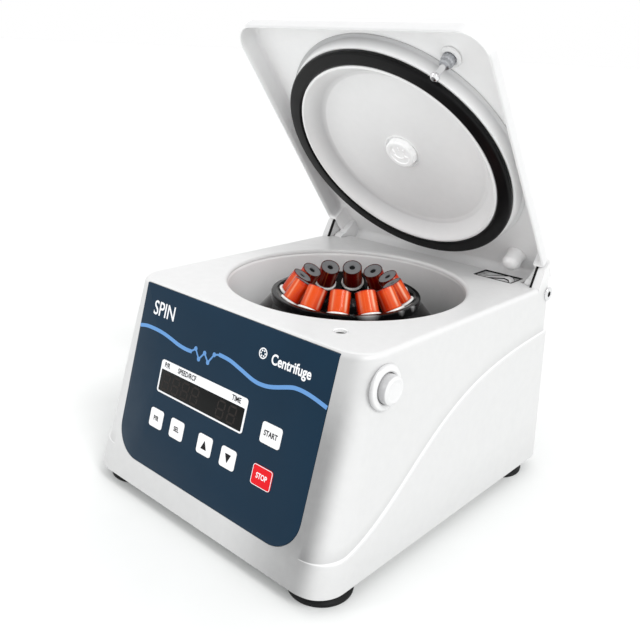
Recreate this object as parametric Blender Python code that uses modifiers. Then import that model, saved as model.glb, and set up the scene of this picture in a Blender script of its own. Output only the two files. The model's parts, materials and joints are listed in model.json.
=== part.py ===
"""Low-speed benchtop centrifuge with its lid open: a casing on four rubber feet, a sloped
control panel with six keys, a chamber with a twelve-place angle rotor holding capped blood
tubes, and a hinged lid with a gasket, a striker pin and a safety switch boss.

Sizes are in millimetres, and MM turns them into Blender's metres. +Z is up, +Y is the
rear, and +X is the side with the lid release button. Casing coordinates start at the
middle of the casing's front bottom edge; FRAME_SHIFT moves them to the part's origin.
"""

import math

import bmesh
import bpy
from mathutils import Matrix, Vector

MM = 0.001
FIT = 0.3  # gap between pieces that touch

# Casing
CASE_HALF_WIDTH = 140.0  # at the bottom, over the styling ledge
LEDGE = 2.5  # how far the lower side mouldings stand proud
DECK_HALF_WIDTH = 129.0
CASE_DEPTH = 314.0
DECK_Z = 168.0
FRONT_SETBACK = 45.3
FRONT_CORNER_RADIUS = 25.0
REAR_CORNER_RADIUS = 12.0
EDGE_RADIUS = 4.0
WALL = 3.0
CORNER_STEPS = 5
FOOT_HEIGHT = 12.0
FOOT_RADIUS = 25.0
FOOT_X = 112.0
FOOT_YS = (32.0, 282.0)
BASE_THICKNESS = 3.0

# Chamber and rotor
CHAMBER_Y = 177.8
OPENING_RADIUS = 104.5
BOWL_DEPTH = 96.0
BOWL_WALL = 2.0
RIM_RADIUS = 64.6
RIM_Z = DECK_Z - 10.8
ROTOR_RADIUS = 95.5
ROTOR_BOTTOM_Z = 84.0
TUBE_COUNT = 12
TUBE_TILT = math.radians(32.5)
TUBE_TOP_RADIUS = 39.4
TUBE_TOP_Z = DECK_Z + 0.9
FIRST_TUBE_ANGLE = math.radians(213.0)
CAP_RADIUS = 9.15
CAP_LENGTH = 19.5
TUBE_RADIUS = 6.5
TUBE_LENGTH = 84.0
COLLAR_RADIUS = 10.6
COLLAR_THICKNESS = 2.0
BORE_RADIUS = 7.0
SHAFT_RADIUS = 6.0

# Lid, drawn closed about its hinge axis and then turned open
HINGE_Y = 305.0
HINGE_Z = 161.0
LID_OPEN = math.radians(52.7)
LID_HALF_WIDTH = 127.0
LID_LENGTH = 263.0  # hinge axis to the front lip
LID_THICKNESS = 20.0
LID_GAP = 0.6
LID_WALL = 3.0
LID_CORNER_RADIUS = 24.0
LID_WIDE_START = 25.0  # the lid is full width only this far ahead of its hinge axis
LID_NECK_HALF_WIDTH = 119.2
CHEEK_INNER_X = 120.0
GASKET_OUTER, GASKET_INNER, GASKET_THICKNESS = 113.8, 101.1, 5.0
STRIKER_X, STRIKER_Y = 81.0, 76.0
SWITCH_X, SWITCH_Y = 89.0, 290.5

# Front panel, in its own plane: u to the right, v up the slope, w out of the panel
PANEL_HALF_WIDTH = 107.5
PANEL_TOP, PANEL_BOTTOM = 172.5, 22.5
PANEL_CORNER_RADIUS = 27.0
PANEL_THICKNESS = 1.2
KEY_ROW_V, START_V = 65.6, 98.0
SMALL_KEY = (16.8, 16.0)
LARGE_KEY = (20.4, 16.0)
KEYS = {
    "key_mode": (-63.4, KEY_ROW_V, SMALL_KEY),
    "key_select": (-36.4, KEY_ROW_V, SMALL_KEY),
    "key_up": (-1.4, KEY_ROW_V, SMALL_KEY),
    "key_down": (26.1, KEY_ROW_V, SMALL_KEY),
    "key_start": (63.5, START_V, LARGE_KEY),
    "key_stop": (63.5, KEY_ROW_V, LARGE_KEY),
}
DISPLAY_LEFT, DISPLAY_RIGHT = -70.0, 34.8
DISPLAY_LOW, DISPLAY_HIGH = 88.0, 115.6
BOARD_DEPTH = 16.0  # control board behind the panel's face

# Lid release
BUTTON_Y, BUTTON_Z = 67.0, 143.0
BEZEL_RADIUS = 17.0
BUTTON_RADIUS = 10.8
BUTTON_PROUD = 9.5
BUTTON_TRAVEL = 5.0
STRIKER_HEAD_RADIUS = 4.0
LATCH_TOP_Z = DECK_Z - WALL - FIT

FRAME_SHIFT = (0.0, -165.75, FOOT_HEIGHT)

SLOPE = math.atan2(FRONT_SETBACK, DECK_Z)
COLOURS = {
    "white": ((0.86, 0.86, 0.86, 1), 0.28, 0.0),
    "off_white": ((0.70, 0.70, 0.70, 1), 0.35, 0.0),
    "navy": ((0.013, 0.036, 0.072, 1), 0.35, 0.0),
    "black_gloss": ((0.01, 0.01, 0.011, 1), 0.12, 0.0),
    "rubber": ((0.012, 0.012, 0.012, 1), 0.7, 0.0),
    "orange": ((0.85, 0.12, 0.01, 1), 0.3, 0.0),
    "red": ((0.75, 0.01, 0.02, 1), 0.35, 0.0),
    "chrome": ((0.75, 0.75, 0.76, 1), 0.12, 1.0),
    "steel": ((0.45, 0.46, 0.48, 1), 0.4, 1.0),
    "zinc": ((0.55, 0.56, 0.55, 1), 0.45, 1.0),
    "board": ((0.02, 0.16, 0.07, 1), 0.5, 0.0),
    "dark_plastic": ((0.02, 0.02, 0.022, 1), 0.45, 0.0),
}


def start_scene():
    for old in list(bpy.data.objects):
        bpy.data.objects.remove(old)
    made = {}
    for name in ("centrifuge", "cutters"):
        made[name] = bpy.data.collections.new(name)
        bpy.context.scene.collection.children.link(made[name])
    return made


COLLECTIONS = start_scene()


def empty(name, location, parent=None, rotation=(0, 0, 0)):
    """An axis or a frame that pieces hang from, at a place given in millimetres."""
    made = bpy.data.objects.new(name, None)
    made.location = Vector(location) * MM
    made.rotation_euler = rotation
    made.parent = parent
    COLLECTIONS["centrifuge"].objects.link(made)
    return made


CASING = empty("casing_frame", FRAME_SHIFT)
LID_AXIS = empty("lid_hinge_axis", (0, HINGE_Y, HINGE_Z), CASING, (-LID_OPEN, 0, 0))
ROTOR_AXIS = empty("rotor_axis", (0, CHAMBER_Y, 0), CASING)
PANEL = empty("panel_plane", (0, 0, 0), CASING, (math.pi / 2 - SLOPE, 0, 0))


def paint(obj, finish):
    colour, roughness, metallic = COLOURS[finish]
    look = bpy.data.materials.new(obj.name + "_" + finish)
    look.use_nodes = True
    shader = look.node_tree.nodes["Principled BSDF"]
    shader.inputs["Base Color"].default_value = colour
    shader.inputs["Roughness"].default_value = roughness
    shader.inputs["Metallic"].default_value = metallic
    obj.data.materials.append(look)


def make(name, bm, finish=None, parent=CASING, location=(0, 0, 0), rotation=(0, 0, 0)):
    """An object from a mesh in millimetres. Without a finish it is a cutter."""
    bmesh.ops.scale(bm, vec=(MM, MM, MM), verts=bm.verts)
    mesh = bpy.data.meshes.new(name)
    bm.to_mesh(mesh)
    bm.free()
    mesh.shade_smooth()
    mesh.set_sharp_from_angle(angle=math.radians(35))
    obj = bpy.data.objects.new(name, mesh)
    obj.location = Vector(location) * MM
    obj.rotation_euler = rotation
    obj.parent = parent
    COLLECTIONS["centrifuge" if finish else "cutters"].objects.link(obj)
    if finish:
        paint(obj, finish)
    else:
        obj.hide_render = True
        obj.display_type = "WIRE"
    return obj


def combine(obj, other, operation="DIFFERENCE"):
    step = obj.modifiers.new(operation.lower() + "_" + other.name, "BOOLEAN")
    step.operation = operation
    step.object = other
    return obj


def cylinder(radius, low, high, centre=(0, 0), segments=32, top_radius=None):
    """A cylinder or cone along Z between two heights."""
    bm = bmesh.new()
    bmesh.ops.create_cone(
        bm,
        cap_ends=True,
        segments=segments,
        radius1=radius,
        radius2=radius if top_radius is None else top_radius,
        depth=high - low,
        matrix=Matrix.Translation((centre[0], centre[1], (low + high) / 2)),
    )
    return bm


def cylinder_x(radius, low, high, y, z, segments=32, outer_radius=None):
    """A cylinder or cone along X between two places."""
    bm = cylinder(radius, low, high, segments=segments, top_radius=outer_radius)
    turn = Matrix.Translation((0, y, z)) @ Matrix.Rotation(math.pi / 2, 4, "Y")
    bmesh.ops.transform(bm, matrix=turn, verts=bm.verts)
    return bm


def block(x, y, z, bevel=0.0):
    """A box between two places along each axis, with its upright edges rounded."""
    bm = bmesh.new()
    size = [pair[1] - pair[0] for pair in (x, y, z)]
    centre = [(pair[0] + pair[1]) / 2 for pair in (x, y, z)]
    place = Matrix.Translation(centre) @ Matrix.Diagonal((*size, 1))
    bmesh.ops.create_cube(bm, size=1, matrix=place)
    if bevel:
        upright = [e for e in bm.edges if abs((e.verts[0].co - e.verts[1].co).normalized().z) > 0.9]
        bmesh.ops.bevel(bm, geom=upright, offset=bevel, segments=3, profile=0.5, affect="EDGES")
    return bm


def prism(outline, low, high, axis="Z"):
    """A flat outline made solid between two places along an axis. For X it is drawn in YZ."""
    bm = bmesh.new()
    points = [(p[0], p[1], low) if axis == "Z" else (low, p[0], p[1]) for p in outline]
    face = bm.faces.new([bm.verts.new(p) for p in points])
    solid = bmesh.ops.extrude_face_region(bm, geom=[face])
    along = Vector((0, 0, high - low)) if axis == "Z" else Vector((high - low, 0, 0))
    moved = [v for v in solid["geom"] if isinstance(v, bmesh.types.BMVert)]
    bmesh.ops.translate(bm, vec=along, verts=moved)
    bmesh.ops.recalc_face_normals(bm, faces=bm.faces)
    return bm


def lathe(name, profile, finish=None, steps=48, parent=CASING, location=(0, 0, 0), closed=False):
    """A turned piece. The profile holds (radius, height) down its outer side."""
    bm = bmesh.new()
    points = [bm.verts.new((radius, 0, height)) for radius, height in profile]
    for first, second in zip(points, points[1:]):
        bm.edges.new((first, second))
    if closed:
        bm.edges.new((points[-1], points[0]))
    obj = make(name, bm, finish, parent, location)
    turn = obj.modifiers.new("turn", "SCREW")
    turn.steps = turn.render_steps = steps
    turn.use_merge_vertices = True
    turn.merge_threshold = 0.00001
    return obj


def mirrored(bm, plane_normal=(1, 0, 0)):
    """The same mesh on the other side of the middle plane."""
    twin = bm.copy()
    bmesh.ops.scale(twin, vec=[-1 if n else 1 for n in plane_normal], verts=twin.verts)
    bmesh.ops.reverse_faces(twin, faces=twin.faces)
    return twin


def rounded_outline(left, right, front, rear, front_radius, rear_radius, steps=CORNER_STEPS):
    """A rectangle with rounded corners, counter-clockwise from its front right corner."""
    corners = (
        (right - front_radius, front + front_radius, front_radius, -90),
        (right - rear_radius, rear - rear_radius, rear_radius, 0),
        (left + rear_radius, rear - rear_radius, rear_radius, 90),
        (left + front_radius, front + front_radius, front_radius, 180),
    )
    points = []
    for x, y, radius, start in corners:
        for step in range(steps + 1):
            angle = math.radians(start + 90 * step / steps)
            points.append((x + radius * math.cos(angle), y + radius * math.sin(angle)))
    return points


def loft(rings):
    """A solid through rings of equally many points, each ring at its own height."""
    bm = bmesh.new()
    rows = [[bm.verts.new(point) for point in ring] for ring in rings]
    for lower, upper in zip(rows, rows[1:]):
        for i in range(len(lower)):
            j = (i + 1) % len(lower)
            bm.faces.new((lower[i], lower[j], upper[j], upper[i]))
    bm.faces.new(list(reversed(rows[0])))
    bm.faces.new(rows[-1])
    bmesh.ops.recalc_face_normals(bm, faces=bm.faces)
    return bm


# ---------------------------------------------------------------- casing


def case_ring(z, inset=0.0, side_inset=None):
    """The casing's outline at one height, moved in by an inset."""
    side = inset if side_inset is None else side_inset
    taper = CASE_HALF_WIDTH - LEDGE - DECK_HALF_WIDTH
    half = DECK_HALF_WIDTH + taper * (1 - z / DECK_Z) - side
    front = FRONT_SETBACK * z / DECK_Z + inset / math.cos(SLOPE)
    outline = rounded_outline(
        -half,
        half,
        front,
        CASE_DEPTH - inset,
        FRONT_CORNER_RADIUS - inset,
        REAR_CORNER_RADIUS - inset,
    )
    return [(x, y, z) for x, y in outline]


def case_loft(low, high, inset=0.0, side_inset=None, rounded=False):
    if not rounded:
        return loft([case_ring(z, inset, side_inset) for z in (low, high)])
    rings = [case_ring(low, inset)]
    for step in range(5):
        angle = math.pi / 2 * step / 4
        rings.append(
            case_ring(
                high - EDGE_RADIUS * (1 - math.sin(angle)),
                inset + EDGE_RADIUS * (1 - math.cos(angle)),
            )
        )
    return loft(rings)


def ledge_height(y):
    """The styling ledge rises from the front corners to the rear along a soft S."""
    reach = max(y, 0.0) / 118.0
    return 24.0 + 107.0 * reach**3.2 / (1 + reach**3.2)


def side_mouldings():
    """The proud lower areas of both sides, as one cutter each."""
    steps = 16
    rear = CASE_DEPTH + 5
    curve = [(rear * i / steps, ledge_height(rear * i / steps)) for i in range(steps + 1)]
    outline = [(-10, 0.4), *[(rear, 0.4)], *reversed(curve), (-10, 24.0)]
    made = []
    for side in (1, -1):
        bm = prism(outline, 116, 150, "X")
        area = make("ledge_area", bm if side == 1 else mirrored(bm))
        skin = make("ledge_skin", case_loft(0.4, DECK_Z - 10, 0.05, -LEDGE))
        made.append(combine(skin, area, "INTERSECT"))
    return made


def hinge_cheeks():
    """Upright ears at the rear corners that carry the hinge screws."""
    outline = (
        (288.4, DECK_Z - 8),
        (288.4, DECK_Z),
        (296.1, 184.4),
        (304.0, 190.2),
        (CASE_DEPTH + 5, 190.2),
        (CASE_DEPTH + 5, DECK_Z - 8),
    )
    made = []
    for side in (1, -1):
        bm = prism(outline, CHEEK_INNER_X, 150, "X")
        area = make("cheek_area", bm if side == 1 else mirrored(bm))
        tower = make("cheek_tower", case_loft(DECK_Z - 12, 200, 0.1))
        made.append(combine(tower, area, "INTERSECT"))
    return made


def knuckle_pockets(housing):
    """Round pockets in the deck's rear corners, in which the lid's knuckles turn."""
    for side in (1, -1):
        ends = sorted((side * 106.0, side * (CHEEK_INNER_X + 1)))
        wall = make("pocket_wall", cylinder_x(15.2, *ends, HINGE_Y, HINGE_Z))
        inside = make("pocket_limit", case_loft(100, DECK_Z - 0.05, 0.05, rounded=True))
        combine(housing, combine(wall, inside, "INTERSECT"), "UNION")
    for side in (1, -1):
        ends = sorted((side * 108.0, side * CHEEK_INNER_X))
        combine(housing, make("pocket", cylinder_x(12.6, *ends, HINGE_Y, HINGE_Z)))


def main_housing():
    housing = make("main_housing", case_loft(0, DECK_Z, rounded=True), "white")
    for piece in (*side_mouldings(), *hinge_cheeks()):
        combine(housing, piece, "UNION")
    combine(housing, make("cavity", case_loft(-5, DECK_Z - WALL, WALL)))
    knuckle_pockets(housing)
    hole = cylinder(OPENING_RADIUS, 150, 180, (0, CHAMBER_Y), 64)
    combine(housing, make("rotor_opening", hole))
    striker_hole = cylinder(5.6, 150, 180, (STRIKER_X, STRIKER_Y), 20)
    combine(housing, make("striker_hole", striker_hole))
    combine(housing, make("switch_slot", block((63, 102), (286, 309), (150, 180))))
    for side in (1, -1):
        ends = sorted((side * 110.0, side * 140.0))
        combine(housing, make("screw_bore", cylinder_x(2.6, *ends, HINGE_Y, HINGE_Z, 16)))
        head = sorted((side * (DECK_HALF_WIDTH - 2.2), side * 140.0))
        combine(housing, make("screw_recess", cylinder_x(4.6, *head, HINGE_Y, HINGE_Z, 20)))
    bore = cylinder_x(BUTTON_RADIUS + 2.0, 110, 150, BUTTON_Y, BUTTON_Z)
    combine(housing, make("button_bore", bore))
    recess = panel_shape(0.4)
    combine(housing, make("panel_recess", prism(recess, -PANEL_THICKNESS - FIT, 10), None, PANEL))
    rows = ((-74, 38, 84, 119.6), (-76, 76, 54, 77), (50, 76, 76, 110))
    for left, right, low, high in rows:
        window = block((left, right), (low, high), (-12, 5))
        combine(housing, make("panel_window", window, None, PANEL))
    inlet = block((-94, -66), (CASE_DEPTH - 10, CASE_DEPTH + 5), (22, 46))
    combine(housing, make("inlet_cutout", inlet))
    switch = block((-46, -25), (CASE_DEPTH - 10, CASE_DEPTH + 5), (20, 48))
    combine(housing, make("switch_cutout", switch))
    for row in range(6):
        low = 22 + row * 9
        slot = block((10, 90), (CASE_DEPTH - 10, CASE_DEPTH + 5), (low, low + 4))
        combine(housing, make("vent_slot", slot))
    return housing


def base_and_feet():
    inner = WALL + FIT
    base = make("base_plate", case_loft(0, BASE_THICKNESS, inner), "zinc")
    combine(base, make("base_airway", cylinder(26, -5, 10, (0, CHAMBER_Y), 32)))
    profile = (
        (0.0, -0.3),
        (16.0, -0.3),
        (17.0, -4.0),
        (23.0, -7.6),
        (FOOT_RADIUS, -9.6),
        (FOOT_RADIUS - 0.4, -FOOT_HEIGHT),
        (0.0, -FOOT_HEIGHT),
    )
    for row, y in zip(("front", "rear"), FOOT_YS):
        for column, x in (("left", -FOOT_X), ("right", FOOT_X)):
            lathe(f"foot_{row}_{column}", profile, "rubber", 24, location=(x, y, 0))


# ---------------------------------------------------------------- front panel


def panel_shape(grow=0.0):
    """The panel's outline: square top corners and large round bottom corners."""
    half = PANEL_HALF_WIDTH + grow
    low, high = PANEL_BOTTOM - grow, PANEL_TOP + grow
    radius = PANEL_CORNER_RADIUS + grow
    return rounded_outline(-half, half, low, high, radius, 0.8)


def key_box(u, v, size, grow, low, high):
    wide, tall = size[0] / 2 + grow, size[1] / 2 + grow
    return block((u - wide, u + wide), (v - tall, v + tall), (low, high), 1.6)


def panel_pieces():
    sheet = prism(panel_shape(), -PANEL_THICKNESS, 0.2)
    panel = make("front_panel", sheet, "navy", PANEL)
    wide = (DISPLAY_LEFT - FIT, DISPLAY_RIGHT + FIT)
    tall = (DISPLAY_LOW - FIT, DISPLAY_HIGH + FIT)
    combine(panel, make("display_cutout", block(wide, tall, (-5, 5), 1.6), None, PANEL))
    for name, (u, v, size) in KEYS.items():
        hole = key_box(u, v, size, FIT, -5, 5)
        combine(panel, make(name + "_hole", hole, None, PANEL))
        finish = "red" if name == "key_stop" else "off_white"
        make(name, key_box(u, v, size, 0, -4.0, 0.6), finish, PANEL)
    window = block(
        (DISPLAY_LEFT, DISPLAY_RIGHT), (DISPLAY_LOW, DISPLAY_HIGH), (-PANEL_THICKNESS, 0.5), 1.6
    )
    make("display_window", window, "black_gloss", PANEL)
    module = block(
        (DISPLAY_LEFT + 1, DISPLAY_RIGHT - 1),
        (DISPLAY_LOW + 2, DISPLAY_HIGH - 6),
        (-BOARD_DEPTH + 0.2 + FIT, -PANEL_THICKNESS - FIT),
    )
    make("display_module", module, "dark_plastic", PANEL)
    board = block((-88, 88), (46, 126), (-BOARD_DEPTH - 1.4, -BOARD_DEPTH + 0.2))
    make("control_board", board, "board", PANEL)


# ---------------------------------------------------------------- drive and chamber


def chamber():
    top, low = DECK_Z - WALL - FIT, DECK_Z - BOWL_DEPTH
    inner = OPENING_RADIUS - 0.5
    profile = (
        (inner + 7, top),
        (inner + 7, top - BOWL_WALL),
        (inner + BOWL_WALL, top - BOWL_WALL - 0.5),
        (inner - 1 + BOWL_WALL, low + 8),
        (inner - 9, low - BOWL_WALL),
        (16, low - BOWL_WALL),
        (16, low),
        (inner - 10, low),
        (inner - 1, low + 9),
        (inner, top - 3),
        (inner + 1, top),
    )
    lathe("chamber_bowl", profile, "off_white", 48, location=(0, CHAMBER_Y, 0), closed=True)


def motor():
    plate = block((-80, 80), (CHAMBER_Y - 62, CHAMBER_Y + 62), (62, 65), 8)
    plate = make("motor_mount_plate", plate, "steel")
    combine(plate, make("motor_pilot_hole", cylinder(18.3, 50, 80, (0, CHAMBER_Y), 32)))
    profile = (
        (SHAFT_RADIUS + 1.2, 68.0),
        (18.0, 68.0),
        (18.0, 62.0 - FIT),
        (37.0, 62.0 - FIT),
        (38.0, 60.0),
        (38.0, 12.0),
        (36.0, 9.0),
        (SHAFT_RADIUS + 1.2, 9.0),
    )
    lathe("motor_housing", profile, "dark_plastic", 28, location=(0, CHAMBER_Y, 0), closed=True)
    mount = (
        (0, 62 - FIT),
        (9, 62 - FIT),
        (9, 55),
        (6.5, 50),
        (6.5, 42),
        (9, 37),
        (9, BASE_THICKNESS + FIT),
        (0, BASE_THICKNESS + FIT),
    )
    places = [(x, y) for y in (-50, 50) for x in (-66, 66)]
    for number, (x, y) in enumerate(places, 1):
        place = (x, CHAMBER_Y + y, 0)
        lathe(f"damper_mount_{number}", mount, "rubber", 12, location=place)


def cone_height(radius):
    """The rotor's upper face, square to the tubes."""
    under_collar = CAP_LENGTH + FIT + COLLAR_THICKNESS
    at = TUBE_TOP_RADIUS + under_collar * math.sin(TUBE_TILT)
    height = TUBE_TOP_Z - under_collar * math.cos(TUBE_TILT)
    return height + (radius - at) * math.tan(TUBE_TILT) - 0.6


def tube_matrix(number):
    """Places a piece drawn along -Z from a cap's top onto one tube's tilted axis."""
    angle = FIRST_TUBE_ANGLE - 2 * math.pi * number / TUBE_COUNT
    out = Vector((math.cos(angle), math.sin(angle), 0))
    place = Matrix.Translation(out * TUBE_TOP_RADIUS + Vector((0, 0, TUBE_TOP_Z)))
    tilt = Matrix.Rotation(-TUBE_TILT, 4, out.cross(Vector((0, 0, -1))))
    return place @ tilt


def on_tube_axis(bm, number):
    bmesh.ops.transform(bm, matrix=tube_matrix(number), verts=bm.verts)
    return bm


def rotor():
    flare_z = 118.0
    profile = (
        (0.0, cone_height(24)),
        (24.0, cone_height(24)),
        (61.0, cone_height(61)),
        (62.5, RIM_Z),
        (RIM_RADIUS, RIM_Z - 1.2),
        (66.0, RIM_Z - 5.0),
        (ROTOR_RADIUS - 1, flare_z),
        (ROTOR_RADIUS, flare_z - 3),
        (ROTOR_RADIUS, ROTOR_BOTTOM_Z + 6),
        (ROTOR_RADIUS - 5, ROTOR_BOTTOM_Z),
        (70.0, ROTOR_BOTTOM_Z),
        (40.0, 118.0),
        (16.0, 122.0),
        (14.0, ROTOR_BOTTOM_Z + 6),
        (0.0, ROTOR_BOTTOM_Z + 6),
    )
    body = lathe("rotor_body", profile, "black_gloss", 48, ROTOR_AXIS)
    collar_top = CAP_LENGTH + FIT
    for number in range(TUBE_COUNT):
        collar = cylinder(
            COLLAR_RADIUS, -collar_top - COLLAR_THICKNESS - 3, -collar_top, segments=16
        )
        collar = make("sleeve_collar", on_tube_axis(collar, number), None, ROTOR_AXIS)
        combine(body, collar, "UNION")
    for number in range(TUBE_COUNT):
        bore = cylinder(BORE_RADIUS, -TUBE_LENGTH - 1.5, 5, segments=16)
        bore = make("tube_bore", on_tube_axis(bore, number), None, ROTOR_AXIS)
        combine(body, bore)
    shaft_bore = make("shaft_bore", cylinder(SHAFT_RADIUS + FIT, 50, 170), None, ROTOR_AXIS)
    combine(body, shaft_bore)
    shaft = (
        (0, 146),
        (SHAFT_RADIUS - 1, 146),
        (SHAFT_RADIUS, 144),
        (SHAFT_RADIUS, 88),
        (12, 87),
        (12, 76),
        (SHAFT_RADIUS, 75),
        (SHAFT_RADIUS, 13),
        (0, 13),
    )
    lathe("drive_shaft", shaft, "steel", 20, ROTOR_AXIS)
    seat = cone_height(24) + FIT
    nut = (
        (SHAFT_RADIUS + FIT, seat + 16),
        (10, seat + 16),
        (12, seat + 13),
        (12, seat + 4),
        (16, seat + 3),
        (16, seat),
        (SHAFT_RADIUS + FIT, seat),
    )
    lathe("rotor_nut", nut, "dark_plastic", 18, ROTOR_AXIS, closed=True)


def tubes():
    bottom = [
        (TUBE_RADIUS * math.cos(a), -TUBE_LENGTH + TUBE_RADIUS * (1 - math.sin(a)))
        for a in (0.0, math.pi / 4)
    ]
    profile = (
        (0, -2.5),
        (2.4, -2.5),
        (3.0, 0),
        (CAP_RADIUS - 0.6, 0),
        (CAP_RADIUS, -0.8),
        (CAP_RADIUS, -CAP_LENGTH),
        (TUBE_RADIUS, -CAP_LENGTH),
        *bottom,
        (0, -TUBE_LENGTH),
    )
    for number in range(TUBE_COUNT):
        tube = lathe(f"sample_tube_{number + 1:02d}", profile, "orange", 14, ROTOR_AXIS)
        location, rotation, _ = tube_matrix(number).decompose()
        tube.location = location * MM
        tube.rotation_euler = rotation.to_euler()


# ---------------------------------------------------------------- lid


def lid_outline(inset=0.0):
    """The lid from above, closed: wide ahead of the cheeks and narrow between them."""
    wide, neck = LID_HALF_WIDTH - inset, LID_NECK_HALF_WIDTH - inset
    front, rear = -LID_LENGTH + inset, 10.4 - inset
    step_y = -LID_WIDE_START - inset
    radius = LID_CORNER_RADIUS - inset
    right = [(neck, rear), (neck, step_y), (wide, step_y)]
    corner = []
    for step in range(CORNER_STEPS + 1):
        angle = math.pi / 2 * step / CORNER_STEPS
        x = wide - radius + radius * math.cos(angle)
        corner.append((x, front + radius - radius * math.sin(angle)))
    half = right + corner
    return half + [(-x, y) for x, y in reversed(half)]


def lid_shell():
    low = DECK_Z + LID_GAP - HINGE_Z
    high = low + LID_THICKNESS
    shell = make("lid_shell", lid_solid(low, high), "white", LID_AXIS)
    inside = prism(lid_outline(LID_WALL), low - 5, high - LID_WALL)
    combine(shell, make("lid_inside", inside, None, LID_AXIS))
    for side in (1, -1):
        ends = sorted((side * 109.5, side * LID_NECK_HALF_WIDTH))
        knuckle = make("lid_knuckle", cylinder_x(11.0, *ends, 0, 0), None, LID_AXIS)
        combine(shell, knuckle, "UNION")
        web = make("lid_web", block(ends, (-9.5, 8.8), (0, high - 1)), None, LID_AXIS)
        combine(shell, web, "UNION")
    for side in (1, -1):
        ends = sorted((side * 100.0, side * 125.0))
        combine(shell, make("lid_screw_bore", cylinder_x(2.6, *ends, 0, 0, 16), None, LID_AXIS))
    return high - LID_WALL


def lid_solid(low, high):
    """The lid's outer form, with a rounded upper edge."""
    rings = []
    for step in range(5):
        angle = math.pi / 2 * step / 4
        inset = 6.0 * (1 - math.cos(angle))
        z = high - 6.0 * (1 - math.sin(angle))
        rings.append([(x, y, z) for x, y in lid_outline(inset)])
    rings.insert(0, [(x, y, low) for x, y in lid_outline()])
    return loft(rings)


def lid_pieces():
    plate_z = lid_shell()
    centre = (0, CHAMBER_Y - HINGE_Y, 0)
    face = DECK_Z + FIT - HINGE_Z
    seat = face + GASKET_THICKNESS
    roof = plate_z - FIT
    liner = (
        (0, roof),
        (119.5, roof),
        (117.5, roof - 4),
        (115.2, seat + 1.5),
        (114.2, seat + FIT),
        (100.6, seat + FIT),
        (100.6, face + 1.0),
        (98.6, face + 0.6),
        (96.5, face + 3.0),
        (88.0, roof - 4.0),
        (84.0, roof - 2.2),
        (16.5, roof - 2.2),
        (16.5, roof - 1.2),
        (0, roof - 1.2),
    )
    lathe("lid_liner", liner, "white", 48, LID_AXIS, centre)
    ring = (
        (GASKET_OUTER - 0.8, seat),
        (GASKET_OUTER, seat - 1.5),
        (GASKET_OUTER, face + 1.2),
        (GASKET_OUTER - 1.2, face),
        (GASKET_INNER + 1.2, face),
        (GASKET_INNER, face + 1.2),
        (GASKET_INNER, seat),
    )
    lathe("lid_gasket", ring, "rubber", 48, LID_AXIS, centre, closed=True)
    port = (
        (0, roof - 1.5),
        (16.0, roof - 1.5),
        (16.0, roof - 4.6),
        (14.5, roof - 5.4),
        (11.0, roof - 5.4),
        (10.0, roof - 4.4),
        (0, roof - 4.4),
    )
    lathe("lid_port", port, "white", 24, LID_AXIS, centre)
    tip = DECK_Z - HINGE_Z - 9.3
    pin = (
        (0, roof),
        (9.0, roof),
        (9.0, roof - 3),
        (6.0, roof - 3.5),
        (6.0, roof - 8),
        (4.6, roof - 8.5),
        (4.6, roof - 11),
        (2.4, roof - 11.5),
        (2.4, tip + 4.2),
        (STRIKER_HEAD_RADIUS, tip + 3.6),
        (STRIKER_HEAD_RADIUS, tip + 1.6),
        (2.2, tip),
        (0, tip),
    )
    place = (STRIKER_X, STRIKER_Y - HINGE_Y, 0)
    lathe("striker_pin", pin, "chrome", 16, LID_AXIS, place)
    boss = (
        (0, roof),
        (8.4, roof),
        (8.0, face + 4.0),
        (6.4, face + 1.4),
        (3.4, face + 0.4),
        (0, face + 0.4),
    )
    place = (SWITCH_X, SWITCH_Y - HINGE_Y, 0)
    lathe("lid_switch_boss", boss, "white", 24, LID_AXIS, place)
    for name, side in (("right", 1), ("left", -1)):
        hinge_screw(f"hinge_screw_{name}", side)


def hinge_screw(name, side):
    """A socket screw through a cheek into the lid's knuckle."""
    head, tip = DECK_HALF_WIDTH + 0.2, 112.0
    screw = cylinder_x(2.3, *sorted((side * tip, side * (head - 1))), 0, 0, 16)
    made = make(name, screw, "steel", CASING, (0, HINGE_Y, HINGE_Z))
    ends = sorted((side * (head - 2.1), side * head))
    cap = make(name + "_head", cylinder_x(4.2, *ends, HINGE_Y, HINGE_Z, 20))
    combine(made, cap, "UNION")
    ends = sorted((side * (head - 1.6), side * (head + 2)))
    combine(made, make(name + "_socket", cylinder_x(2.0, *ends, HINGE_Y, HINGE_Z, 6)))


# ---------------------------------------------------------------- lid release and switch


def side_x(z):
    """The right side's outer face at one height, without the ledge."""
    taper = CASE_HALF_WIDTH - LEDGE - DECK_HALF_WIDTH
    return DECK_HALF_WIDTH + taper * (1 - z / DECK_Z)


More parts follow.
